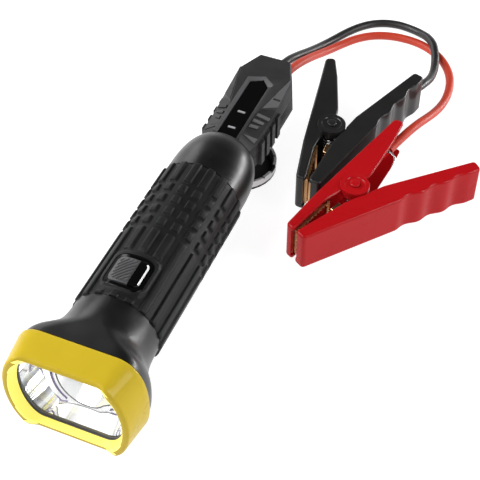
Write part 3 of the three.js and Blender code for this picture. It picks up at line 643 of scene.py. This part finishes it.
def bowl_ring(radius, y):
    """A round ring whose points lie where the outlines' points do."""
    size = 22
    return [torch(x * radius / size, y, z * radius / size) for x, z in outline(size, size, 0.02, 2)]


def bowl_depth(radius):
    """A paraboloid with a focal length of 6.5 mm."""
    return (BOWL_RADIUS ** 2 - radius ** 2) / (4 * 6.5)


def reflector():
    """A box-shaped mirror front that steps into a round bowl; the bowl's faces wear a painted glow."""
    front, rear = (30.4, 24.6, 17, 2), (27.2, 22.6, 14, 2)
    bowl_front, back_front = 21, 21.4
    rings = [section(10.6, LENS_SEAT), section(12, LENS_SEAT),
             section(12, front, -1.2), section(22.4, rear, -1.2)]
    bowl = [BOWL_RADIUS - 1.2 * i for i in range(15)]
    for radius in bowl:
        rings.append(bowl_ring(radius + 1.3, back_front + bowl_depth(radius)))
    rings.append(bowl_ring(4.8, back_front + bowl_depth(5)))
    for radius in reversed(bowl):
        rings.append(bowl_ring(radius, bowl_front + bowl_depth(radius)))
    rings.append(section(bowl_front, rear))
    rings.append(section(15.5, mixed(front, rear, 0.45)))
    rings.append(section(10.6, front))

    # in_bowl picks the faces that get the painted glow.
    def in_bowl(normal, x, y, z):
        return y > 20.95 and (normal.x * x + normal.z * z < 0 or normal.y < -0.9)

    obj = piece("reflector_mirror", *skin(rings, closed=True), *as_node("reflector"), sharp=35)
    paint_glow_on(obj, PAINTED_GLOW_BOWL, in_bowl)
    # A thin black ring at the bowl's edge: a painted shade line along the step into the box.
    lip = [math.radians(6 * i) for i in range(61)]
    wire("reflector_lip_shade", [torch(21.9 * math.cos(a), 20.95, 21.9 * math.sin(a)) for a in lip], 0.22,
         "gloss_black", "torch")
    # Two purple arcs at the mirror's front: painted reflections, not marks on the mirror.
    arc = [math.radians(-62 + 124 * i / 24) for i in range(25)]
    for side, mark in ((-1, "left"), (1, "right")):
        wire(f"reflector_arc_{mark}",
             [torch(side * 24.3 * math.cos(a), 20.9, 24.3 * math.sin(a)) for a in arc], 0.42,
             "gloss_black", "torch", mat=COATING_REFLECTION)


# Distance from the front plane, then an outline as above.
NECK = [
    (21.1, 36.2, 27.9, 19.5, 2.4), (25, 35.5, 27.7, 18, 2.3), (28.5, 34, 27.3, 15, 2.2),
    (31.5, 31.9, 26.9, 11, 2.1), (35, 29.2, 26.4, 7, 2), (39, 27.2, 25.9, 3, 2),
    (44, 25.8, 25.4, 1, 2), (50, 25.1, 25.1, 0.02, 2), (56.2, 24.9, 24.9, 0.02, 2),
]


def neck():
    bore = (23.6, 23.6, 0.02, 2)
    wall = 1.9
    rings = [section(y, shape) for y, *shape in smooth_path(NECK, 4)]
    rings += [section(56.2, bore), section(43.9, bore)]
    rings += [section(y, shape, wall) for y, *shape in reversed(NECK[:7])]
    piece("neck_shell", *skin(rings, closed=True), *as_node("head_shell"), sharp=45)


# ---- grip ------------------------------------------------------------------------------------
GRIP_START, GRIP_END = 56.5, 162.0
COLUMNS = 18
GRIP_BASE = 24.8
RIB_HEIGHT = 1.4
# Where each rib starts and stops: a long one, four short blocks and a shorter one.
RIB_SEGMENTS = [(56.0, 107.5), (111.0, 116.4), (120.0, 125.4), (129.0, 134.4), (138.0, 143.4),
                (146.3, 163.0)]
BUTTON_Y = 74.4
ISLAND_Y = 75.6
ISLAND_HEIGHT = 1.35


def island(arc, y):
    """Distance in mm outside the rounded island that carries the button."""
    half_x, half_y, corner = 14.3, 13.1, 6.0
    dx, dy = abs(arc) - (half_x - corner), abs(y - ISLAND_Y) - (half_y - corner)
    return math.hypot(max(dx, 0), max(dy, 0)) + min(max(dx, dy), 0) - corner


def grip_radius(angle, y):
    """Ribs and the button's island, each with softened flanks, over the sleeve's base radius."""
    period = 2 * math.pi / COLUMNS
    phase = abs((angle + period / 2) % period - period / 2)
    half = math.radians(5.0)
    edge = math.radians(1.1)
    rib = 1 - ease(phase, half - edge, half + edge)
    along = max(ease(y, a - 0.5, a + 0.5) * (1 - ease(y, b - 0.5, b + 0.5)) for a, b in RIB_SEGMENTS)
    turn = (angle + math.pi) % (2 * math.pi) - math.pi
    away = island(turn * (GRIP_BASE + RIB_HEIGHT), y)
    clear = ease(away, 1.0, 1.7)
    # Ahead of the button the ribs are only a short collar at the sleeve's front edge.
    if abs(turn) < 0.62 and y < 69:
        clear = max(1 - ease(y, 58.2, 59.0), 0 if away < 1.6 or abs(turn) < 0.58 else clear)
    on_rib = RIB_HEIGHT * rib * along * clear
    on_island = ISLAND_HEIGHT * (1 - ease(away, -0.5, 0.35))
    return GRIP_BASE + max(on_rib, on_island)


def grip_stations():
    """Rings lie close together where a rib starts or stops and round the button's island."""
    edges = {57.0, 58.6, 61.6, 62.4, 64, 66, 68, 70, 73, 76, 79, 82, 84, 86, 88, 88.6, 89.2, 89.8,
             90.6}
    for a, b in RIB_SEGMENTS:
        for centre in (a, b):
            edges.update(centre + d for d in (-0.55, -0.33, -0.1, 0.1, 0.33, 0.55))
    y = GRIP_START
    while y < GRIP_END:
        edges.add(y)
        y += 3.0
    edges = sorted(e for e in edges if GRIP_START + 0.3 < e < GRIP_END - 0.3)
    return [GRIP_START] + edges + [GRIP_END]


def grip():
    """The points of a column are in degrees from its rib's middle, closest on the rib's flanks."""
    half = (1.5, 3.7, 4.3, 4.8, 5.3, 5.8, 6.3, 7.8)
    column = [-10] + [-d for d in reversed(half)] + list(half)
    inner_radius, sharp = 23.7, 60
    angles = [math.radians(360 / COLUMNS * k + d) for k in range(COLUMNS) for d in column]
    rings = []
    rows = grip_stations()
    for y in rows:
        inset = 0.3 if y in (rows[0], rows[-1]) else 0
        ring = []
        for a in angles:
            r = grip_radius(a, min(max(y, GRIP_START + 0.1), GRIP_END - 0.1)) - inset
            ring.append(torch(r * math.sin(a), y, r * math.cos(a)))
        rings.append(ring)
    for y in (rows[-1], rows[0]):
        rings.append([torch(inner_radius * math.sin(a), y, inner_radius * math.cos(a)) for a in angles])
    obj = piece("grip_skin", *skin(rings, closed=True), *as_node("grip_sleeve"), sharp)
    window = extruded(rounded(11.3, 11.3, 4.8), 10, 40, torch)
    obj.data = worked_mesh(obj, [(CUT, window)])
    shade(obj.data, sharp)


def rounded(half_x, half_y, radius):
    """A rounded rectangle round the button's middle, as (x, y)."""
    steps = 8
    points = []
    for sx, sy, start in ((1, 1, 0), (-1, 1, 90), (-1, -1, 180), (1, -1, 270)):
        for i in range(steps + 1):
            a = math.radians(start + 90 * i / steps)
            points.append((sx * (half_x - radius) + radius * math.cos(a),
                           BUTTON_Y + sy * (half_y - radius) + radius * math.sin(a)))
    return points


# ---- button ----------------------------------------------------------------------------------
def on_tube(x, y, radius):
    """The point above (x, y) on a cylinder round the torch's axis."""
    return torch(x, y, math.sqrt(radius ** 2 - x * x))


def button_frame():
    """A rounded-square ring that follows the handle's curve."""
    outer, inner = rounded(11, 11, 4.5), rounded(9.35, 8.95, 3.7)
    low, high = 24.2, 25.9
    rings = [[on_tube(x, y, radius) for x, y in points]
             for points, radius in ((outer, low), (outer, high), (inner, high), (inner, low))]
    soften(piece("button_bezel", *skin(rings, closed=True), *as_node("button_frame")), 0.25, 2)


def curved_plate(name, x_range, low, high, slot, replaced=(), mat=None):
    """One side of the rounded button, which follows the handle's curve between two radii."""
    half_x, half_y, corner, edge = 9, 8.6, 3.4, 0.25
    x0, x1 = x_range
    rings = []
    for i in range(41):
        x = x0 + (x1 - x0) * (0.5 - 0.5 * math.cos(math.pi * i / 40))
        past = max(abs(x) - (half_x - corner), 0)
        reach = half_y - corner + math.sqrt(max(corner ** 2 - past ** 2, 0.0004))
        half_ring = ((reach, low), (reach, high - edge), (reach - edge, high))
        ring = [(-y, radius) for y, radius in half_ring] + list(reversed(half_ring))
        rings.append([on_tube(x, BUTTON_Y + y, radius) for y, radius in ring])
    piece(name, *skin(rings), slot, "button", replaced, sharp=40, mat=mat)


def button_ribs():
    """Diagonal ribs, each only where the pad is under it."""
    pitch, slope = 2.75, 1.15
    number = 0
    for k in range(-5, 6):
        points = []
        for i in range(61):
            x = -7.7 + 10.2 * i / 60
            y = pitch * k + slope * (x + 2.5)
            corner = math.hypot(min(x + 4.6, 0), max(abs(y) - 4.4, 0)) if x < -4.6 else 0
            if abs(y) < 7.2 and corner < 3.0:
                points.append(on_tube(x, BUTTON_Y + y, 26.42))
        if len(points) > 8:
            number += 1
            wire(f"button_rib_{number}", points, 0.62, "button_plastic", "button", mat=LOUVRE)


def button():
    button_frame()
    # The left part's lighter grey is a painted reflection of the light; the right part keeps the plain
    # gloss black.
    curved_plate("button_pad_sheen", (-9, 3.2), 24.3, 26.4, "button_plastic", ["power_button"], PAD_SHEEN)
    curved_plate("button_gloss", (3.25, 9), 24.3, 26.35, "gloss_black")
    button_ribs()
    # A light grey wire along the button's right edge only: a painted highlight.
    edge = [(8.45, -6.4 + 1.2 * i) for i in range(10)]
    edge += [(8.42, 5.4), (8.3, 6.3), (7.9, 7.1), (7.3, 7.6)]
    wire("button_edge_highlight", [on_tube(x, BUTTON_Y + y, 26.25) for x, y in edge], 0.55, "steel", "button",
         mat=RIM_HIGHLIGHT)


bezel()
gasket()
lens()
reflector()
neck()
grip()
button()


# ---- clamps ----------------------------------------------------------------------------------
CLAMP_Z = 15.3  # a clamp's middle above the floor
HALF = 13.0  # half a clamp's width
RIM_RADIUS = 1.5
PIN_HOLE = 2.6


def clamp_place(x0, y0, turn):
    """Turns a clamp's own millimetres, with the pivot at 0 and the jaws towards -x, into places."""
    c, s = math.cos(math.radians(turn)), math.sin(math.radians(turn))

    def place(x, y, z):
        return ((x0 + c * x - s * y) * MM, (y0 + FRONT + s * x + c * y) * MM, (CLAMP_Z + z) * MM)

    return place


def long_outline():
    """The long handle's side view; its back dips three times between the fingers."""
    (x0, y0), (x1, y1) = (-51, -13.8), (67.2, -35.3)
    slope = (y1 - y0) / (x1 - x0)
    points, sizes = [(x0, y0)], [2.4]
    for i in range(55):
        x = 10 + i
        wave = (x - 11) / 51 * 6 * math.pi
        dip = 0 if x < 11 or x > 62 else 0.85 * (1 - math.cos(wave))
        points.append((x, y0 + slope * (x - x0) + dip))
        sizes.append(0)
    points += [(x1 + 1.6, y1 - 0.2), (71, -28.2), (13.8, -10.2), (-13, -6.3), (-50.6, -6.3)]
    sizes += [3.4, 2.6, 12, 12, 2.3]
    return filleted(points, sizes)


def pin_hole(place):
    """The step that cuts a handle's hole for the pivot pin."""
    return CUT, disc([(PIN_HOLE, -20), (PIN_HOLE, 20)], place)


def lead_bore(place):
    """The step that cuts a hole along the long handle's end for the lead."""
    slope = math.tan(math.radians(-13))
    rings = []
    for x in (58, 78):
        middle = -30.2 + slope * (x - 68)
        rings.append([place(x, middle + up, across) for across, up in circle(3.45, 32)])
    return CUT, skin(rings)


def long_handle(color, place, lead_in_long):
    """Hollow and open towards the short handle, with a cheek on each side that carries the pin."""
    hollow = [(-46.4, 4), (-48.2, -11.8), (8, -21.6), (64, -31.4), (67, -27), (64, 4)]
    slot = [(-60, -8.15), (-47, -8.15), (-47, 0), (-60, 0)]
    cheek = [(-13, -7.4), (13.8, -11), (13.8, -24), (-13, -19)]
    steps = [(CUT, extruded(hollow, -HALF + 2.2, HALF - 2.2, place)),
             (CUT, extruded(slot, -10.3, 10.3, place))]
    for side in (-1, 1):
        low, high = sorted((side * 8.7, side * 10.9))
        steps.append((JOIN, disc([(8.3, low), (8.3, high)], place)))
        steps.append((JOIN, extruded(cheek, *sorted((side * 8.65, side * 11.15)), place)))
        low, high = sorted((side * 10.9, side * 20))
        steps.append((CUT, disc([(9.3, low), (9.3, high)], place)))
    steps.append(pin_hole(place))
    if lead_in_long:
        steps.append(lead_bore(place))
    sculpted(f"{color}_long_grip", pillow(long_outline(), HALF, RIM_RADIUS, place), steps,
             *as_node(f"{color}_long_handle"))


def short_handle(color, place):
    """Hollow and open towards the long handle, with a round boss on each side of the pivot."""
    outline = filleted(
        [(-50.9, -4.7), (-51, 1.4), (-20, 10.3), (0.7, 15.2), (38, 24), (59.6, 29.3), (61.8, 23.4),
         (46, 15.2), (12.4, 0.5), (-12, 2), (-21.3, 2)],
        [2.3, 2.4, 8, 12, 12, 3.0, 2.4, 6, 6, 4, 4])
    hollow = [(-48.6, -9), (-48.6, -0.8), (-20, 7.9), (0.7, 12.7), (38, 21.6), (70, 29.2), (70, -12)]
    slot = [(-60, -9), (-47, -9), (-47, -3.2), (-60, -3.2)]
    steps = [(CUT, extruded(hollow, -11.3, 11.3, place)), (CUT, extruded(slot, -10.3, 10.3, place))]
    boss = [(0.01, 11.3), (8.7, 11.3), (8.7, 13.7), (8.5, 14.1), (8.1, 14.25), (6.2, 14.25),
            (5.7, 13.85), (0.01, 13.85)]
    for side in (-1, 1):
        steps.append((JOIN, disc([(r, side * z) for r, z in boss], place)))
    steps.append(pin_hole(place))
    sculpted(f"{color}_short_grip", pillow(outline, HALF, RIM_RADIUS, place), steps,
             *as_node(f"{color}_short_handle"))


def rivet(color, place):
    """The pivot pin; the clamp lies on one of its two heads."""
    head = [(2.2, 14.4), (3, 14.4), (3, 14.8), (2.7, 15.15), (2.2, CLAMP_Z), (0.01, CLAMP_Z)]
    profile = [(r, -z) for r, z in reversed(head)] + head
    piece(f"{color}_rivet", *disc(profile, place), *as_node(f"{color}_pivot_pin"), sharp=50)


def jaw_strip(color, side, place):
    """A toothed copper strip; side 1 is the short handle's."""
    start, stop = -48.3, (-18 if side > 0 else -15)

    def level(x):
        return -5.3 + (max(x, -46) + 46) * 0.235 if side > 0 else -6.1 + max(0, (x + 42) * 0.045)

    teeth = []
    for i in range(45):
        x = start + (stop - start) * i / 44
        teeth.append((x, level(x) + side * 0.5 * (1 - math.cos(i / 44 * 24 * math.pi))))
    thick = (stop, level(stop) + side * 2.6)
    back = [thick, (-45, -2.6), (start, -3.4)] if side > 0 else [thick, (-45, -8.4), (start, -8)]
    channel = [(-46.4, -16), (stop - 1.6, -16), (stop - 1.6, 12), (-46.4, 12)]
    name = f"{color}_{'short' if side > 0 else 'long'}_jaw"
    sculpted(name + "_strip", extruded(teeth + back, -10, 10, place),
             [(CUT, extruded(channel, -8.3, 8.3, place))], *as_node(name), sharp=60)


def spring(color, place, lead_in_long):
    """A torsion spring: a coil round the pin, with a leg along the handle that holds the lead."""
    radius, half, turns = 4.6, 4.2, 3.45
    if lead_in_long:
        start = [(5, 10.2, half), (2.6, 7, half)]
        stop = [(16, -13, -half), (40, -22.4, -half)]
    else:
        start = [(37, 5.6, 3.5), (40.4, 8.4, 5.6), (39.6, 13.6, 7.4), (35, 16, 7), (26, 12.8, 5.6),
                 (16, 9.6, half + 0.2)]
        stop = [(6, -8.2, -half), (9, -11.5, -half)]
    coil = []
    for i in range(61):
        a = math.radians(80) + i / 60 * turns * 2 * math.pi
        coil.append((radius * math.cos(a), radius * math.sin(a), half - 2 * half * i / 60))
    line = [place(*p) for p in smooth_path(start + coil + stop, 4)]
    wire(f"{color}_spring_wire", line, 0.8, *as_node(f"{color}_spring"))


def lug(color, place):
    """The crimped block of copper behind the long handle's teeth."""
    outline = filleted([(-22, -6.6), (-22, -3.4), (-14.2, -2.4), (-14.2, -6.6)], 0.7)
    piece(f"{color}_lug", *pillow(outline, 10.3, 0.7, place), "jaw_copper",
          BODY_OF[f"{color}_long_jaw"], mat=LUG)


def clamp(color, x, y, turn, lead_in_long):
    """A whole clamp with its pivot at (x, y) mm, turned by turn degrees about the vertical."""
    place = clamp_place(x, y, turn)
    long_handle(color, place, lead_in_long)
    short_handle(color, place)
    jaw_strip(color, -1, place)
    jaw_strip(color, 1, place)
    rivet(color, place)
    lug(color, place)
    spring(color, place, lead_in_long)


clamp("black", 49, 250.8, 87, True)
clamp("red", 79.8, 205.8, 61, False)


# ---- tail and cap ----------------------------------------------------------------------------
HINGE_Y, HINGE_Z = 197, -23
CAP_OPEN = 91.5  # degrees; its far edge then rests on the floor


def tail():
    """A closed cup with two hinge ears, the plug's socket and a charge port."""
    outside = smooth_path([(24.8, 162.3), (24.75, 169), (24.6, 176.5), (23.95, 184), (22.6, 190.4),
                           (20.7, 195.4)], 5)
    outside += [(20.0, 196.7), (19.2, 197.8), (18.4, 198.6), (17.4, 199), (0.01, 199)]
    inside = [(0.01, 195.2), (16.8, 195.2), (20.3, 189), (22, 182), (22, 166.5), (23.6, 166.5),
              (23.6, 162.3)]
    rings = [[torch(x, y, z) for x, z in circle(radius, 96)] for radius, y in outside + inside]
    ears = [block(sorted((side * 5, side * 8.2)), (190.5, 199), (-25.2, -17)) for side in (-1, 1)]
    hinge_hole = skin([[torch(x, HINGE_Y + up, HINGE_Z + across) for across, up in circle(1.55, 32)]
                       for x in (-10, 10)])
    socket = block((-12.3, 12.3), (190, 200), (-7.3, 7.3))
    charge_port = block((-4.9, 4.9), (190, 200), (10, 13.8))
    steps = [(JOIN, ear) for ear in ears]
    steps += [(CUT, hole) for hole in (hinge_hole, socket, charge_port)]
    sculpted("tail_shell", skin(rings, closed=True), steps, *as_node("tail_housing"))


def cap_place(x, y, z):
    """Hinge coordinates of the closed cap, turned down to where it rests."""
    c, s = math.cos(math.radians(-CAP_OPEN)), math.sin(math.radians(-CAP_OPEN))
    return torch(x, HINGE_Y + c * y - s * z, HINGE_Z + s * y + c * z)


def cap():
    """The cup, and a ring round its edge with notches and four slots in it, painted light grey as the
    highlight on the edge.
    """
    refined("tail_cap", "tail_cap_cup", 0.35, 2, PLUG)
    profile = [(21.75, -1.2), (21.75, -3.55), (21.95, -3.7), (23.3, -3.7), (23.5, -3.5), (23.5, 0.6),
               (23.3, 0.8), (22.6, 0.8), (22.6, -1.2)]
    rings = [[cap_place(x, y, z - HINGE_Z) for x, z in circle(radius, 96)] for radius, y in profile]
    cuts = [block((-9.4, 9.4), (-9, 9), (-6, 7), cap_place)]
    for side in (-1, 1):
        cuts.append(block(sorted((side * 20.5, side * 26)), (-6, -1.9), (19.5, 26.5), cap_place))
        for level in (33.5, 12.5):
            cuts.append(block(sorted((side * 17, side * 24)), (-6, -2.6), (level, level + 0.9), cap_place))
    sculpted("cap_rim", skin(rings, closed=True), [(CUT, solid) for solid in cuts], "steel", "cap",
             mat=RIM_HIGHLIGHT)


tail()
cap()


# ---- plug ------------------------------------------------------------------------------------
# Distance from the front plane, then x and z of the sloping upper side's two edges.
PLUG_TOP = [(199.3, 8.6, 14.6), (204.5, 8.2, 16), (224, 8.4, 16), (263, 16.4, 16), (279, 9.8, 15.6)]
PLUG_EDGE = [(199.3, 15.2, 8.5), (204.5, 17, 9.5), (224, 17.6, 9.5), (263, 17.7, 14.6), (279, 10.8, 14.2)]


def at_station(table, y):
    """x and z of an edge at y."""
    for (y0, a0, b0), (y1, a1, b1) in zip(table, table[1:]):
        if y <= y1:
            t = (y - y0) / (y1 - y0)
            return a0 + (a1 - a0) * t, b0 + (b1 - b0) * t
    return table[-1][1:]


def on_facet(side, y, across, lift):
    """A point of the plug's sloping upper side: across 0 is the top edge and 1 the outer edge."""
    (tx, tz), (ex, ez) = at_station(PLUG_TOP, y), at_station(PLUG_EDGE, y)
    dx, dz = ex - tx, ez - tz
    length = math.hypot(dx, dz)
    x, z = tx + dx * across - dz / length * lift, tz + dz * across + dx / length * lift
    return torch(side * x, y, z)


def facet_plate(name, side, corners, low, high, mat):
    """A flat plate on the plug's sloping side; corners are (y, across) pairs."""
    rings = [[on_facet(side, y, across, lift) for y, across in corners] for lift in (low, high)]
    soften(piece(name, *skin(rings), "button_plastic", "cable_set", mat=mat), 0.12, 2)


def window_outline(grow):
    half = 6 + grow
    return [(-half, 200.6 - grow), (half, 200.6 - grow), (half, 251 + grow), (1.5, 256.5 + grow),
            (-half, 252.5 + grow)]


def window_frame():
    """A raised frame round the window, open at its front and along its right side."""
    profile = [(0.25, 14.6), (0.25, 15.05), (0.55, 15.3), (2.55, 16.14), (2.75, 16.1), (2.75, 15.2),
               (2, 14.9), (1, 14.6)]
    rings = [[torch(x, max(y, 200.1), z) for x, y in window_outline(grow)] for grow, z in profile]
    front = block((-30, 30), (190, 201.6), (10, 20))
    right = block((5.9, 30), (190, 251.2), (10, 20))
    sculpted("plug_window_frame", skin(rings, closed=True), [(CUT, front), (CUT, right)],
             "button_plastic", "cable_set", mat=LOUVRE)


def plug_facets(side, mark, light):
    """The trim of one sloping side: dark panels under a toe, louvres, a wedge and a vent. The toe, louvres
    and wedge wear the colour given as light: lighter grey paints light on the right side, the panels' dark
    grey paints shade on the left.
    """
    depth = -0.3
    facet_plate(f"plug_panel_{mark}_front", side,
                [(208.6, 0.05), (208.6, 0.93), (224, 0.95), (224, 0.05)], depth, 0.1, PANEL)
    facet_plate(f"plug_panel_{mark}_rear", side,
                [(224, 0.05), (224, 0.95), (237.5, 0.95), (229.6, 0.05)], depth, 0.1, PANEL)
    facet_plate(f"plug_toe_{mark}", side, [(205.2, 0.06), (205.2, 0.88), (209.6, 0.9)], depth, 0.45, light)
    for i, (y, reach) in enumerate([(212.6, 0.58), (217.9, 0.72), (223.4, 0.88)]):
        facet_plate(f"plug_louvre_{mark}_{i + 1}", side,
                    [(y, 0.12), (y + 3.0, reach), (y + 5.4, reach), (y + 2.6, 0.12)], depth, 0.75, light)
    facet_plate(f"plug_wedge_{mark}", side,
                [(231.0, 0.08), (239.4, 0.96), (263, 0.66), (263, 0.28)], depth, 0.4, light)
    facet_plate(f"plug_vent_{mark}", side,
                [(241.2, 0.2), (243.6, 0.88), (245.2, 0.84), (242.9, 0.2)], -0.2, 0.46, PANEL)


def plug():
    refined("plug_top_shell", "plug_cover", 0.45, 3, PLUG)
    refined("plug_bottom_shell", "plug_base", 0.45, 3, PLUG)
    refined("plug_window", "plug_display", 0.15, 2)
    window_frame()
    # Both sides' trim is the same; the right's is painted lighter as lit and the left's darker as shaded.
    plug_facets(-1, "left", PANEL)
    plug_facets(1, "right", LOUVRE)


plug()

# The CAD nodes that keep their own shape get a finish here; the hidden ones get it too.
for node, obj in frame["nodes"].items():
    obj.data.materials.clear()
    obj.data.materials.append(PILOT if node.startswith("plug_indicator") else FINISHES[SLOT_OF[node]])


# ---- floor and light -------------------------------------------------------------------------
def floor():
    """A wide pale plane just under the pack, with a glow of its own that evens out its shadows."""
    mesh = bpy.data.meshes.new("floor")
    half, level = 6.0, -0.0002
    corners = [(x * half, y * half, level) for x, y in ((-1, -1), (1, -1), (1, 1), (-1, 1))]
    mesh.from_pydata(corners, [], [(0, 1, 2, 3)])
    obj = bpy.data.objects.new("floor", mesh)
    bpy.context.scene.collection.objects.link(obj)
    mat = finish("pale_floor", (0.34, 0.34, 0.34), 0.8, mottle=0.01, grain=200, strength=0.02, spec=0.1)
    fill(node_of(mat, "BSDF_PRINCIPLED"), {"Emission Color": (1, 1, 1, 1), "Emission Strength": 0.9})
    obj.data.materials.append(mat)


# Name, place, the point it faces and its size in metres, and its power in watts.
LIGHTS = [
    ("soft_left", (-0.85, 0.05, 0.75), (0, 0.12, 0.02), (0.55, 1.1), 15),
    ("strip_right", (0.85, 0.10, 0.22), (0.03, 0.12, 0.02), (0.24, 1.0), 1),
    ("right_high", (0.88, 0.28, 0.58), (0.08, 0.2, 0.02), (0.3, 0.8), 5),
    ("front_top", (-0.15, -0.75, 1.15), (0.05, 0.12, 0), (0.7, 0.5), 4.5),
    ("front_left", (-0.50, -0.55, 0.72), (0.08, 0.18, 0.02), (0.28, 0.28), 2),
    ("back_right", (0.62, 0.82, 0.07), (0.02, 0.13, 0.03), (0.5, 0.1), 3.4),
    ("back_left", (-0.62, 0.74, 0.42), (0, 0.13, 0.03), (0.3, 0.45), 1.2),
]


def area(name, place, target, size, power):
    """A rectangular lamp that faces target."""
    data = bpy.data.lights.new(name, "AREA")
    data.shape = "RECTANGLE"
    data.size, data.size_y = size
    data.energy = power
    obj = bpy.data.objects.new(name, data)
    obj.location = place
    look = Vector(target) - Vector(place)
    obj.rotation_euler = look.to_track_quat("-Z", "Y").to_euler()
    bpy.context.scene.collection.objects.link(obj)


def studio_world():
    """Bright all round the horizon and darker overhead, like a white sweep under a dim ceiling."""
    world = bpy.data.worlds.new("studio")
    world.use_nodes = True
    tree = world.node_tree
    where = tree.nodes.new("ShaderNodeTexCoord")
    split = tree.nodes.new("ShaderNodeSeparateXYZ")
    ramp = tree.nodes.new("ShaderNodeValToRGB")
    points = ramp.color_ramp.elements
    points[0].position, points[0].color = 0.06, (0.95, 0.95, 0.95, 1)
    points[1].position, points[1].color = 0.42, (0.05, 0.05, 0.05, 1)
    tree.links.new(where.outputs["Generated"], split.inputs[0])
    tree.links.new(split.outputs["Z"], ramp.inputs[0])
    tree.links.new(ramp.outputs[0], tree.nodes["Background"].inputs["Color"])
    fill(tree.nodes["Background"], {"Strength": 0.9})
    bpy.context.scene.world = world


floor()
for light in LIGHTS:
    area(*light)
studio_world()
bpy.context.scene.view_settings.view_transform = "Standard"
